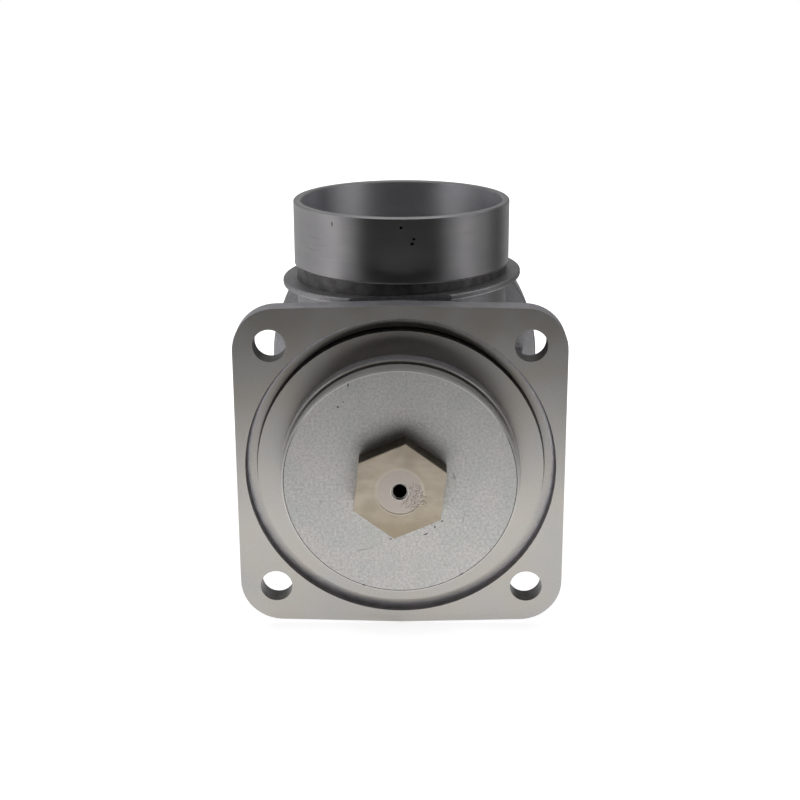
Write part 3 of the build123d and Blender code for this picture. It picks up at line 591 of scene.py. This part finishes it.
def sintered_bronze():
    """Sintered bronze: small balls fused together, dark in the pores between them. The balls are drawn at
    half a millimetre, about twice their real size, so that they show."""
    material, tree, shader, place = new_material("sintered_bronze", 1.0, 0.45)
    balls = add(tree, "ShaderNodeTexVoronoi", {"Vector": place, "Scale": 1 / (0.5 * MM)}).outputs["Distance"]
    colour = stained(tree, linear("#b48a58"), linear("#4e3820"), balls, high=0.75)
    finished(tree, shader, colour, balls, (0.40, 0.60), heaped(tree, (balls, -1.0)), depth=0.2 * MM)
    return material


def ptfe():
    """Bronze-filled fluoropolymer: dark brown with a waxy sheen and fine flecks."""
    material, tree, shader, place = new_material("bronze_filled_ptfe", 0.0, 0.4)
    flecks = patches(tree, place, 0.5 * MM)
    colour = stained(tree, linear("#4f4030"), linear("#7a6446"), flecks, low=0.5, high=0.7)
    finished(tree, shader, colour, flecks, (0.36, 0.46), flecks, depth=0.01 * MM)
    return material


finishes = {
    "cast_aluminium": cast_aluminium(),
    "turned_aluminium": turned_aluminium(),
    "black_rubber": black_rubber(),
    # Zinc plate: clean, bright and slightly blue
    "zinc_steel": plain_metal("bright_zinc_plated_steel", "#b9bbc0", "#a8abb1",
                              roughness=0.3, grain=0.5 * MM, depth=0.01 * MM),
    # Washers annealed soft: a dull, pinkish brown
    "copper": plain_metal("annealed_copper", "#b8775c", "#a5664d",
                          roughness=0.35, grain=0.6 * MM, depth=0.01 * MM),
    # Turned from bar and left bare: a warm, slightly tarnished yellow
    "brass": plain_metal("turned_brass", "#c9aa66", "#b89957",
                         roughness=0.3, grain=0.5 * MM, depth=0.01 * MM),
    "sintered_bronze": sintered_bronze(),
    # Drawn wire under a film of oil: dark grey with a soft shine
    "spring_steel": plain_metal("oiled_spring_steel", "#5a5a5e", "#4a4a4d",
                                roughness=0.35, grain=0.6 * MM, depth=0.01 * MM),
    "blasted_steel": blasted_steel(),
    "nickel_steel": passivated_steel(),
    # Ground for a sliding fit: clean, pale and nearly mirror bright
    "ground_steel": plain_metal("ground_steel", "#c2c3c5", "#b6b7ba",
                                roughness=0.2, grain=0.4 * MM, depth=0.003 * MM),
    "ptfe": ptfe(),
}


def dress_nodes():
    """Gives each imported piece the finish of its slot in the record."""
    for name, node in frame["nodes"].items():
        for holder in node.material_slots:
            holder.link = "OBJECT"
            holder.material = finishes[slots[name]]


def stands_for(name, mesh, node):
    """A piece made of a mesh that rides where a node does and takes its place, the node being hidden."""
    piece = in_scene(name, mesh)
    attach(piece, body_of[node])
    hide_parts(node)
    return piece


def from_valve_axis(face):
    """Distance of a face's centre from the valve axis."""
    return math.hypot(face.center.x, face.center.z)


def from_inlet_axis(face):
    """Distance of a face's centre from the axis of the inlet pipe."""
    return math.hypot(face.center.x, face.center.y - INLET_Y)


def from_bolt_axis(face):
    """Distance of a face's centre from the axis of the nearest bolt hole."""
    return math.hypot(abs(face.center.x) - BOLT_OFFSET, abs(face.center.z) - BOLT_OFFSET)


def spigot_bore(face):
    """Whether a face belongs to the machined bore of the inlet pipe."""
    on_wall = abs(from_inlet_axis(face) - SPIGOT_BORE_R) < HAIR
    return on_wall and face.center.z > CASTING_TOP - SPIGOT_BORE_DEPTH - HAIR


def spigot_outside(face):
    """Whether a face belongs to the machined outside or the rim of the inlet pipe."""
    outside = SPIGOT_BORE_R + HAIR < from_inlet_axis(face) < SPIGOT_R + HAIR
    return outside and face.center.z > SPIGOT_BOTTOM - HAIR


def spigot_neck(face):
    """Whether a face belongs to the neck between the spigot and the collar."""
    outside = SPIGOT_BORE_R + HAIR < from_inlet_axis(face) < SPIGOT_R - HAIR
    return outside and SPIGOT_BOTTOM - NECK_LENGTH < face.center.z < SPIGOT_BOTTOM


def bolt_hole(face):
    """Whether a face belongs to the wall of one of the flange's bolt holes."""
    return from_bolt_axis(face) < BOLT_HOLE_R + HAIR and face.center.y < FLANGE_THICKNESS


def flange_edge(face):
    """Whether a face belongs to the outer edge of the flange."""
    beyond_groove = from_valve_axis(face) > BEYOND_GROOVE_R and face.center.y < FLANGE_THICKNESS
    outwards = face.normal.x * face.center.x + face.normal.z * face.center.z > 0
    return beyond_groove and outwards and abs(face.normal.y) < EDGE_LEANS


def rough_turned(face):
    """Whether a face belongs to the seat's outer wall or to the groove's outer wall and corner."""
    seat_wall = abs(from_valve_axis(face) - SEAT_R) < HAIR and face.center.y < 0
    in_groove = HAIR < face.center.y < GROOVE_DEPTH + HAIR
    outer_corner = GROOVE_R - GROOVE_CORNER_R - HAIR < from_valve_axis(face) < GROOVE_R + HAIR
    return seat_wall or (in_groove and outer_corner)


def faced(face):
    """Whether a face is faced about the valve axis or spot faced behind a bolt hole."""
    flange_face = face.normal.y < -FACES_ALONG and face.center.y < HAIR
    groove_or_seat = from_valve_axis(face) < GROOVE_R + HAIR and face.center.y < GROOVE_DEPTH + HAIR
    flange_back = face.normal.y > FACES_ALONG and face.center.y < FLANGE_THICKNESS - HAIR
    return flange_face or groove_or_seat or (flange_back and from_bolt_axis(face) < SPOT_FACE_R)


def merged_shape(mesh):
    """A shape to work on, made of a mesh with its doubles merged."""
    shape = bmesh.new()
    shape.from_mesh(mesh)
    bmesh.ops.remove_doubles(shape, verts=shape.verts, dist=MERGE_REACH)
    return shape


def mesh_of(shape, name):
    """The mesh of a shape that is finished."""
    mesh = bpy.data.meshes.new(name)
    shape.to_mesh(mesh)
    shape.free()
    return mesh


def merged_copy(node):
    """A copy of a node's mesh with its doubles merged, shaded as the node is."""
    mesh = frame["nodes"][node].data.copy()
    mesh.materials.clear()
    normals = [part for corner in mesh.corner_normals for part in corner.vector]
    mesh.attributes.new(KEPT_NORMAL, "FLOAT_VECTOR", "CORNER").data.foreach_set("vector", normals)
    shape = merged_shape(mesh)
    shape.to_mesh(mesh)
    shape.free()
    kept = [tuple(corner.vector) for corner in mesh.attributes[KEPT_NORMAL].data]
    mesh.attributes.remove(mesh.attributes[KEPT_NORMAL])
    mesh.normals_split_custom_set(kept)
    return mesh


def casting():
    """The casting with a finish of its own on each machined face, by the first test that the face meets."""
    mesh = merged_copy("valve_body")
    machined = [
        (spigot_bore, bored_spigot()),
        (spigot_outside, turned_spigot()),
        # Left as cast, and painted dark as shade under the spigot: dull
        (spigot_neck, plain_metal("oily_cast_aluminium", "#7f7d7e", "#6b696a",
                                  roughness=0.5, grain=0.8 * MM, depth=0.08 * MM)),
        # Drilled, its walls painted darker as shade inside the holes: grey and dull
        (bolt_hole, plain_metal("drilled_aluminium", "#8c8a88", "#7b7978",
                                roughness=0.5, grain=0.8 * MM, depth=0.02 * MM)),
        # Smoothed on a belt: even and matt, and painted pale to stand in for light on the flange's edge
        (flange_edge, plain_metal("linished_aluminium", "#d6d5d9", "#cbcacf",
                                  roughness=0.6, grain=0.8 * MM, depth=0.05 * MM)),
        # Turned in one rough cut: very matt, and painted pale to stand in for the light these walls catch
        (rough_turned, plain_metal("rough_turned_aluminium", "#dddbdf", "#d3d1d5",
                                   roughness=0.62, grain=0.8 * MM, depth=0.02 * MM)),
        (faced, faced_aluminium()),
    ]
    mesh.materials.append(finishes["cast_aluminium"])
    for _, material in machined:
        mesh.materials.append(material)
    for face in mesh.polygons:
        met = (place for place, (belongs, _) in enumerate(machined, start=1) if belongs(face))
        face.material_index = next(met, 0)
    stands_for("machined_casting", mesh, "valve_body")


def nodes_group(name, sockets):
    """A Geometry Nodes tree and what it is given: a geometry and named inputs, as (name, type, value)."""
    tree = bpy.data.node_groups.new(name, "GeometryNodeTree")
    tree.interface.new_socket("Geometry", in_out="INPUT", socket_type="NodeSocketGeometry")
    for label, kind, value in sockets:
        socket = tree.interface.new_socket(label, in_out="INPUT", socket_type="NodeSocket" + kind)
        socket.default_value = value
    tree.interface.new_socket("Geometry", in_out="OUTPUT", socket_type="NodeSocketGeometry")
    return tree, add(tree, "NodeGroupInput").outputs


def baked(tree, made, start, material):
    """What a tree makes of a start mesh, as a plain mesh with one material."""
    solid = add(tree, "GeometryNodeRealizeInstances", {0: made.outputs[0]})
    coated = add(tree, "GeometryNodeSetMaterial", {0: solid.outputs[0], "Material": material})
    add(tree, "NodeGroupOutput", {0: coated.outputs[0]})
    maker = in_scene(tree.name, start)
    modifier = maker.modifiers.new(tree.name, "NODES")
    modifier.node_group = tree
    for socket in tree.interface.items_tree:
        if socket.in_out == "INPUT" and socket.socket_type != "NodeSocketGeometry":
            modifier[socket.identifier] = socket.default_value
    shown = maker.evaluated_get(bpy.context.evaluated_depsgraph_get())
    mesh = bpy.data.meshes.new_from_object(shown)
    maker.modifiers.remove(modifier)
    bpy.data.objects.remove(maker)
    return mesh


def ring_radius(outline, radius, side):
    """Radius of a ring of the screw at one of its sides: round, hexagonal or knurled."""
    if outline == "hexagonal":
        angle = 2 * math.pi * side / SCREW_SIDES
        return radius / math.cos((angle + math.pi / 6) % (math.pi / 3) - math.pi / 6)
    if outline == "knurled":
        return radius - KNURL_DEPTH * (side % 2)
    return radius


def socket_screw():
    """One M6 socket screw on the Y axis, its head out of the washer's plane and its shank below."""
    rings = [
        (-SHANK_LENGTH, SHANK_POINT_R, "round"),
        (SHANK_POINT_LENGTH - SHANK_LENGTH, SHANK_R, "round"),
        (0.0, SHANK_R, "round"),
        (0.0, KNURL_R - KNURL_CHAMFER, "round"),
        (KNURL_BOTTOM, KNURL_R, "knurled"),
        (KNURL_TOP, KNURL_R, "knurled"),
        (KNURL_TOP + KNURL_CHAMFER, KNURL_R - KNURL_CHAMFER, "round"),
        (HEAD_HEIGHT - HEAD_CHAMFER, HEAD_R, "round"),
        (HEAD_HEIGHT, HEAD_R - HEAD_CHAMFER, "round"),
        (HEAD_HEIGHT, KEY_R + SOCKET_CHAMFER, "hexagonal"),
        (HEAD_HEIGHT - SOCKET_CHAMFER, KEY_R, "hexagonal"),
        (SOCKET_FLOOR, KEY_R, "hexagonal"),
        (SOCKET_FLOOR, DRILL_R, "round"),
        (SOCKET_FLOOR - DRILL_POINT, DRILL_TIP_R, "round"),
    ]
    shape = bmesh.new()
    loops = []
    for height, radius, outline in rings:
        loop = []
        for side in range(SCREW_SIDES):
            angle = 2 * math.pi * side / SCREW_SIDES
            out = ring_radius(outline, radius, side)
            loop.append(shape.verts.new((out * math.cos(angle), height, out * math.sin(angle))))
        loops.append(loop)
    for lower, upper in zip(loops, loops[1:]):
        for side in range(SCREW_SIDES):
            following = (side + 1) % SCREW_SIDES
            shape.faces.new((lower[side], upper[side], upper[following], lower[following]))
    shape.faces.new(loops[0])
    shape.faces.new(reversed(loops[-1]))
    bmesh.ops.recalc_face_normals(shape, faces=shape.faces)
    return mesh_of(shape, "socket_screw")


def cover_screws():
    """The cover's screws: one screw on each point of a circle, turned at random."""
    tree, given = nodes_group("screw_circle", [
        ("Screws", "Int", SCREW_COUNT), ("Circle radius", "Float", SCREW_CIRCLE_R),
        ("First angle", "Float", SCREW_START), ("Depth", "Float", WASHER_BACK),
        ("Turn seed", "Int", SCREW_TURN_SEED),
    ])
    circle = add(tree, "GeometryNodeMeshCircle", {
        "Vertices": given["Screws"], "Radius": given["Circle radius"],
    })
    back = add(tree, "ShaderNodeCombineXYZ", {"Y": given["Depth"]})
    turn = add(tree, "ShaderNodeCombineXYZ", {"X": math.pi / 2, "Y": given["First angle"]})
    placed = add(tree, "GeometryNodeTransform", {
        "Geometry": circle.outputs["Mesh"], "Translation": back.outputs[0], "Rotation": turn.outputs[0],
    })
    spin = add(tree, "FunctionNodeRandomValue", {
        "Max": (0, 2 * math.pi, 0), "Seed": given["Turn seed"],
    }, data_type="FLOAT_VECTOR")
    screws = add(tree, "GeometryNodeInstanceOnPoints", {
        "Points": placed.outputs[0], "Instance": given["Geometry"], "Rotation": spin.outputs["Value"],
    })
    mesh = baked(tree, screws, socket_screw(), finishes["zinc_steel"])
    stands_for("socket_screws", mesh, "cover_screws")


def return_spring():
    """The return spring: round wire, closed at both ends and ground flat there."""
    tree, given = nodes_group("coil_spring", [
        ("Coil radius", "Float", SPRING_R), ("Wire radius", "Float", SPRING_WIRE_R),
        ("Front", "Float", SPRING_FRONT), ("Back", "Float", SPRING_BACK),
        ("Ground off", "Float", SPRING_GROUND), ("Coils", "Float", SPRING_COILS),
        ("Closed coils", "Float", SPRING_CLOSED_COILS), ("Closed pitch", "Float", SPRING_CLOSED_PITCH),
        ("Points", "Int", int(SPRING_COILS) * SPRING_STEPS_A_COIL + 1),
    ])
    line = add(tree, "GeometryNodeCurvePrimitiveLine")
    points = add(tree, "GeometryNodeResampleCurve", {"Curve": line.outputs[0], "Count": given["Points"]})
    along = add(tree, "GeometryNodeSplineParameter").outputs["Factor"]
    turns = add(tree, "ShaderNodeMath", {0: along, 1: given["Coils"]}, operation="MULTIPLY").outputs[0]
    angle = add(tree, "ShaderNodeMath", {0: turns, 1: 2 * math.pi}, operation="MULTIPLY").outputs[0]

    # Depth of the wire: slow over the closed coils at both ends, and even in between
    first = add(tree, "ShaderNodeMath", {
        0: given["Front"], 1: given["Ground off"],
    }, operation="ADD").outputs[0]
    last = add(tree, "ShaderNodeMath", {
        0: given["Back"], 1: given["Ground off"],
    }, operation="SUBTRACT").outputs[0]
    rise = add(tree, "ShaderNodeMath", {
        0: given["Closed coils"], 1: given["Closed pitch"],
    }, operation="MULTIPLY").outputs[0]
    late = add(tree, "ShaderNodeMath", {
        0: given["Coils"], 1: given["Closed coils"],
    }, operation="SUBTRACT").outputs[0]
    open_from = add(tree, "ShaderNodeMath", {0: first, 1: rise}, operation="ADD").outputs[0]
    open_to = add(tree, "ShaderNodeMath", {0: last, 1: rise}, operation="SUBTRACT").outputs[0]
    stretches = [
        (0.0, given["Closed coils"], open_from),
        (given["Closed coils"], late, open_to),
        (late, given["Coils"], last),
    ]
    depth = first
    for begin, end, reached in stretches:
        depth = add(tree, "ShaderNodeMapRange", {
            "Value": turns, "From Min": begin, "From Max": end, "To Min": depth, "To Max": reached,
        }).outputs[0]

    # Round wire along the helix
    flat = add(tree, "ShaderNodeCombineXYZ", {"X": 1.0})
    out = add(tree, "ShaderNodeVectorRotate", {
        "Vector": flat.outputs[0], "Angle": angle,
    }, rotation_type="Y_AXIS")
    reach = add(tree, "ShaderNodeVectorMath", {
        0: out.outputs[0], "Scale": given["Coil radius"],
    }, operation="SCALE")
    lifted = add(tree, "ShaderNodeCombineXYZ", {"Y": depth})
    spot = add(tree, "ShaderNodeVectorMath", {0: reach.outputs[0], 1: lifted.outputs[0]}, operation="ADD")
    helix = add(tree, "GeometryNodeSetPosition", {
        "Geometry": points.outputs[0], "Position": spot.outputs[0],
    })
    wire = add(tree, "GeometryNodeCurvePrimitiveCircle", {
        "Resolution": SPRING_WIRE_SIDES, "Radius": given["Wire radius"],
    })
    tube = add(tree, "GeometryNodeCurveToMesh", {
        "Curve": helix.outputs[0], "Profile Curve": wire.outputs[0], "Fill Caps": True,
    })

    # Both ends ground flat
    here = add(tree, "ShaderNodeSeparateXYZ", {0: add(tree, "GeometryNodeInputPosition").outputs[0]})
    kept = add(tree, "ShaderNodeClamp", {
        "Value": here.outputs["Y"], "Min": given["Front"], "Max": given["Back"],
    })
    ground = add(tree, "ShaderNodeCombineXYZ", {
        "X": here.outputs["X"], "Y": kept.outputs[0], "Z": here.outputs["Z"],
    })
    spring = add(tree, "GeometryNodeSetPosition", {
        "Geometry": tube.outputs[0], "Position": ground.outputs[0],
    })
    mesh = baked(tree, spring, bpy.data.meshes.new("wire"), finishes["spring_steel"])
    for face in mesh.polygons:
        face.use_smooth = True
    piece = stands_for("closed_end_spring", mesh, "return_spring")
    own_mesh(piece)


def port_thread():
    """The female thread of the control port: a wall that waves with the helix and dies out at both ends."""
    tree, given = nodes_group("female_thread", [
        ("Core radius", "Float", PORT_CORE_R), ("Thread depth", "Float", THREAD_DEPTH),
        ("Pitch", "Float", THREAD_PITCH), ("Length", "Float", THREAD_LENGTH),
        ("Run out", "Float", THREAD_RUN_OUT), ("Centre", "Vector", (0, PORT_FLOOR + PORT_SEAM, PORT_Z)),
    ])
    grid = add(tree, "GeometryNodeMeshGrid", {
        "Size X": 1.0, "Size Y": 1.0, "Vertices X": THREAD_SIDES + 1, "Vertices Y": THREAD_STEPS + 1,
    })
    here = add(tree, "ShaderNodeSeparateXYZ", {0: add(tree, "GeometryNodeInputPosition").outputs[0]})
    around = add(tree, "ShaderNodeMath", {0: here.outputs["X"], 1: 0.5}, operation="ADD").outputs[0]
    share = add(tree, "ShaderNodeMath", {0: here.outputs["Y"], 1: 0.5}, operation="ADD").outputs[0]
    depth = add(tree, "ShaderNodeMath", {0: share, 1: given["Length"]}, operation="MULTIPLY").outputs[0]

    # Depth of the cut: a wave along the helix with flat crests and roots, fading at both ends
    turns = add(tree, "ShaderNodeMath", {0: depth, 1: given["Pitch"]}, operation="DIVIDE").outputs[0]
    phase = add(tree, "ShaderNodeMath", {0: turns, 1: around}, operation="SUBTRACT").outputs[0]
    wave = add(tree, "ShaderNodeMath", {0: phase, 1: 2 * math.pi}, operation="MULTIPLY").outputs[0]
    cosine = add(tree, "ShaderNodeMath", {0: wave}, operation="COSINE").outputs[0]
    cut = add(tree, "ShaderNodeMapRange", {
        "Value": cosine, "From Min": -THREAD_FLAT, "From Max": THREAD_FLAT,
    }).outputs[0]
    to_mouth = add(tree, "ShaderNodeMath", {0: given["Length"], 1: depth}, operation="SUBTRACT").outputs[0]
    to_end = add(tree, "ShaderNodeMath", {0: depth, 1: to_mouth}, operation="MINIMUM").outputs[0]
    fade = add(tree, "ShaderNodeMapRange", {"Value": to_end, "From Max": given["Run out"]}).outputs[0]
    deep = add(tree, "ShaderNodeMath", {0: cut, 1: fade}, operation="MULTIPLY").outputs[0]

    # The wall, rolled round the port's axis
    radius = add(tree, "ShaderNodeMath", {
        0: deep, 1: given["Thread depth"], 2: given["Core radius"],
    }, operation="MULTIPLY_ADD").outputs[0]
    angle = add(tree, "ShaderNodeMath", {0: around, 1: 2 * math.pi}, operation="MULTIPLY").outputs[0]
    flat = add(tree, "ShaderNodeCombineXYZ", {"X": radius})
    out = add(tree, "ShaderNodeVectorRotate", {
        "Vector": flat.outputs[0], "Angle": angle,
    }, rotation_type="Y_AXIS")
    lifted = add(tree, "ShaderNodeCombineXYZ", {"Y": depth})
    rolled = add(tree, "ShaderNodeVectorMath", {0: out.outputs[0], 1: lifted.outputs[0]}, operation="ADD")
    spot = add(tree, "ShaderNodeVectorMath", {0: rolled.outputs[0], 1: given["Centre"]}, operation="ADD")
    wall = add(tree, "GeometryNodeSetPosition", {"Geometry": grid.outputs[0], "Position": spot.outputs[0]})
    return baked(tree, wall, bpy.data.meshes.new("wall"), finishes["turned_aluminium"])


def facing_inwards(wall):
    """The thread's wall with its doubles merged and every face turned towards the port's axis."""
    shape = merged_shape(wall)
    for face in shape.faces:
        centre = face.calc_center_median()
        inwards = Vector((-centre.x, 0, PORT_Z - centre.z))
        if face.normal.dot(inwards) < 0:
            face.normal_flip()
    return mesh_of(shape, "thread")


def port_wall(face):
    """Whether a face of the cover belongs to the plain wall of its control port."""
    centre = face.calc_center_median()
    in_port = math.hypot(centre.x, centre.z - PORT_Z) < PORT_CORE_R + HAIR
    return in_port and abs(face.normal.y) < WALL_LEANS and PORT_FLOOR < centre.y < PORT_MOUTH


def rear_cover():
    """The cover with a real thread in its control port in place of the plain hole."""
    shape = merged_shape(frame["nodes"]["rear_cover"].data)
    bmesh.ops.delete(shape, geom=[face for face in shape.faces if port_wall(face)], context="FACES")
    shape.from_mesh(facing_inwards(port_thread()))
    for end in (PORT_FLOOR, PORT_EDGE):
        seam = [edge for edge in shape.edges
                if edge.is_boundary and all(abs(corner.co.y - end) < HAIR for corner in edge.verts)]
        bmesh.ops.bridge_loops(shape, edges=seam)
    for face in shape.faces:
        face.smooth = True
    for edge in shape.edges:
        if len(edge.link_faces) == 2:
            edge.smooth = edge.calc_face_angle() < SHARP_FROM
    mesh = mesh_of(shape, "threaded_cover")
    mesh.materials.clear()
    mesh.materials.append(finishes["turned_aluminium"])
    stands_for("threaded_cover", mesh, "rear_cover")


def seen_white(tree):
    """1 for a ray from the camera or from a glossy or clear surface, else 0."""
    path = add(tree, "ShaderNodeLightPath").outputs
    seen = path["Is Camera Ray"]
    for ray in ("Is Glossy Ray", "Is Transmission Ray"):
        seen = add(tree, "ShaderNodeMath", {0: seen, 1: path[ray]}, operation="MAXIMUM").outputs[0]
    return seen


def world():
    """A white room: plain white where it is seen, dimmer where it lights matt surfaces."""
    made = bpy.data.worlds.new("studio")
    bpy.context.scene.world = made
    tree = bare_tree(made)
    strength = add(tree, "ShaderNodeMapRange", {"Value": seen_white(tree), "To Min": AMBIENT, "To Max": 1.0})
    background = add(tree, "ShaderNodeBackground", {
        "Color": linear("#ffffff"), "Strength": strength.outputs[0],
    })
    add(tree, "ShaderNodeOutputWorld", {"Surface": background.outputs["Background"]})


def stage_piece(name, corners, faces, material):
    """A piece of the studio, from its corners and faces."""
    mesh = bpy.data.meshes.new(name)
    mesh.from_pydata(corners, [], faces)
    mesh.materials.append(material)
    made = in_scene(name, mesh)
    return made


def level_sheet(name, width, near, far, height, material):
    """A flat piece of the studio, level at a height, from one place along Y to another."""
    side = width / 2
    corners = [(-side, near, height), (side, near, height), (side, far, height), (-side, far, height)]
    return stage_piece(name, corners, [(0, 1, 2, 3)], material)


def floor():
    """A pale floor that shows white, with the object's contact shadow. From below it isn't there."""
    material = bpy.data.materials.new("pale_floor")
    tree = bare_tree(material)
    place = add(tree, "ShaderNodeTexCoord").outputs["Object"]
    away = add(tree, "ShaderNodeVectorMath", {0: place}, operation="LENGTH").outputs["Value"]
    clear_of = add(tree, "ShaderNodeMapRange", {
        "Value": away, "From Min": SHADOW_R - SHADOW_REACH, "From Max": SHADOW_R,
    }).outputs[0]
    open_sky = add(tree, "ShaderNodeAmbientOcclusion", {"Distance": SHADOW_REACH}, samples=4).outputs["AO"]
    bright = add(tree, "ShaderNodeMath", {0: open_sky, 1: clear_of}, operation="MAXIMUM").outputs[0]
    strength = add(tree, "ShaderNodeMapRange", {
        "Value": bright, "To Min": FLOOR_GLOW - SHADOW_DEPTH, "To Max": FLOOR_GLOW,
    }).outputs[0]
    lit = add(tree, "ShaderNodeBsdfDiffuse", {"Color": linear("#e8e8e8")})
    glow = add(tree, "ShaderNodeEmission", {"Color": linear("#ffffff"), "Strength": strength})
    both = add(tree, "ShaderNodeAddShader", {0: lit.outputs[0], 1: glow.outputs[0]})
    shown = add(tree, "ShaderNodeMixShader", {0: seen_white(tree), 1: lit.outputs[0], 2: both.outputs[0]})
    below = add(tree, "ShaderNodeNewGeometry").outputs["Backfacing"]
    nothing = add(tree, "ShaderNodeBsdfTransparent")
    one_sided = add(tree, "ShaderNodeMixShader", {0: below, 1: shown.outputs[0], 2: nothing.outputs[0]})
    add(tree, "ShaderNodeOutputMaterial", {"Surface": one_sided.outputs[0]})
    level_sheet("floor", FLOOR_SIZE, -FLOOR_SIZE / 2, FLOOR_SIZE / 2, CASTING_BOTTOM, material)


def net_finish(name):
    """Dull black net, and the mix in it whose factor is the net's density."""
    material = bpy.data.materials.new(name)
    tree = bare_tree(material)
    dull = add(tree, "ShaderNodeBsdfDiffuse", {"Color": linear("#1a1a1a")})
    clear = add(tree, "ShaderNodeBsdfTransparent")
    graded = add(tree, "ShaderNodeMixShader", {1: clear.outputs[0], 2: dull.outputs[0]})
    add(tree, "ShaderNodeOutputMaterial", {"Surface": graded.outputs[0]})
    return material, graded


def curtain_top(angle):
    """Height of the curtain's upper edge at a side."""
    for (before, _, low), (after, _, high) in zip(CURTAIN, CURTAIN[1:]):
        if before <= angle <= after:
            return (low + (high - low) * (angle - before) / (after - before)) * MM


def curtain():
    """The curtain, from the floor up. The camera looks through it."""
    material, graded = net_finish("black_net_curtain")
    tree = material.node_tree
    place = add(tree, "ShaderNodeSeparateXYZ", {0: add(tree, "ShaderNodeTexCoord").outputs["Object"]})
    ahead = add(tree, "ShaderNodeMath", {0: place.outputs["Y"], 1: -1.0}, operation="MULTIPLY").outputs[0]
    side = add(tree, "ShaderNodeMath", {0: place.outputs["X"], 1: ahead}, operation="ARCTAN2").outputs[0]
    share = add(tree, "ShaderNodeMapRange", {
        "Value": side, "From Min": -math.pi, "From Max": math.pi,
    }).outputs[0]
    density = add(tree, "ShaderNodeValToRGB", {"Fac": share})
    ramp = density.color_ramp
    ramp.interpolation = "EASE"
    for angle, _, _ in CURTAIN[1:-1]:
        ramp.elements.new(angle / 360 + 0.5)
    for element, (_, dark, _) in zip(ramp.elements, CURTAIN):
        element.color = (dark, dark, dark, 1.0)
    tree.links.new(density.outputs["Color"], graded.inputs[0])
    corners = []
    for step in range(CURTAIN_SEGMENTS):
        angle = 360 * step / CURTAIN_SEGMENTS - 180
        x = CURTAIN_R * math.sin(math.radians(angle))
        y = -CURTAIN_R * math.cos(math.radians(angle))
        corners.append((x, y, CURTAIN_FOOT))
        corners.append((x, y, curtain_top(angle)))
    panels = [(2 * step, 2 * step + 1, (2 * step + 3) % len(corners), (2 * step + 2) % len(corners))
              for step in range(CURTAIN_SEGMENTS)]
    stage_piece("black_net_curtain", corners, panels, material).visible_camera = False


def top_net(name, near, far, density):
    """A black net laid level over the object, from one place along Y to another."""
    material, graded = net_finish("black_net_overhead_" + name)
    graded.inputs[0].default_value = density
    net = level_sheet("black_net_overhead_" + name, TOP_NET_WIDTH, near, far, TOP_NET_HEIGHT, material)
    net.visible_camera = False


def floor_lamp():
    """A soft lamp that lies on the floor in front of the flange and shines up."""
    light = bpy.data.lights.new("floor_lamp", "AREA")
    light.shape = "RECTANGLE"
    light.size = LAMP_WIDTH
    light.size_y = LAMP_DEPTH
    light.energy = LAMP_POWER
    made = in_scene("floor_lamp", light)
    made.location = LAMP_PLACE
    made.rotation_euler = (math.pi, 0, 0)
    made.visible_camera = False


def camera():
    """The photograph's camera."""
    data = bpy.data.cameras.new("camera")
    data.lens = CAMERA_LENS
    data.clip_start = CAMERA_NEAR
    ahead = (CAMERA_TARGET - CAMERA_PLACE).normalized()
    right = ahead.cross(Vector((0, 0, 1))).normalized()
    up = right.cross(ahead)
    rolled_right = math.cos(CAMERA_ROLL) * right + math.sin(CAMERA_ROLL) * up
    rolled_up = math.cos(CAMERA_ROLL) * up - math.sin(CAMERA_ROLL) * right
    turned = Matrix((rolled_right, rolled_up, -ahead)).transposed().to_4x4()
    made = in_scene("camera", data)
    made.matrix_world = Matrix.Translation(CAMERA_PLACE) @ turned
    bpy.context.scene.camera = made


dress_nodes()
casting()
cover_screws()
return_spring()
rear_cover()

world()
floor()
curtain()
for net in TOP_NETS:
    top_net(*net)
floor_lamp()
camera()
bpy.context.scene.view_settings.view_transform = "Standard"
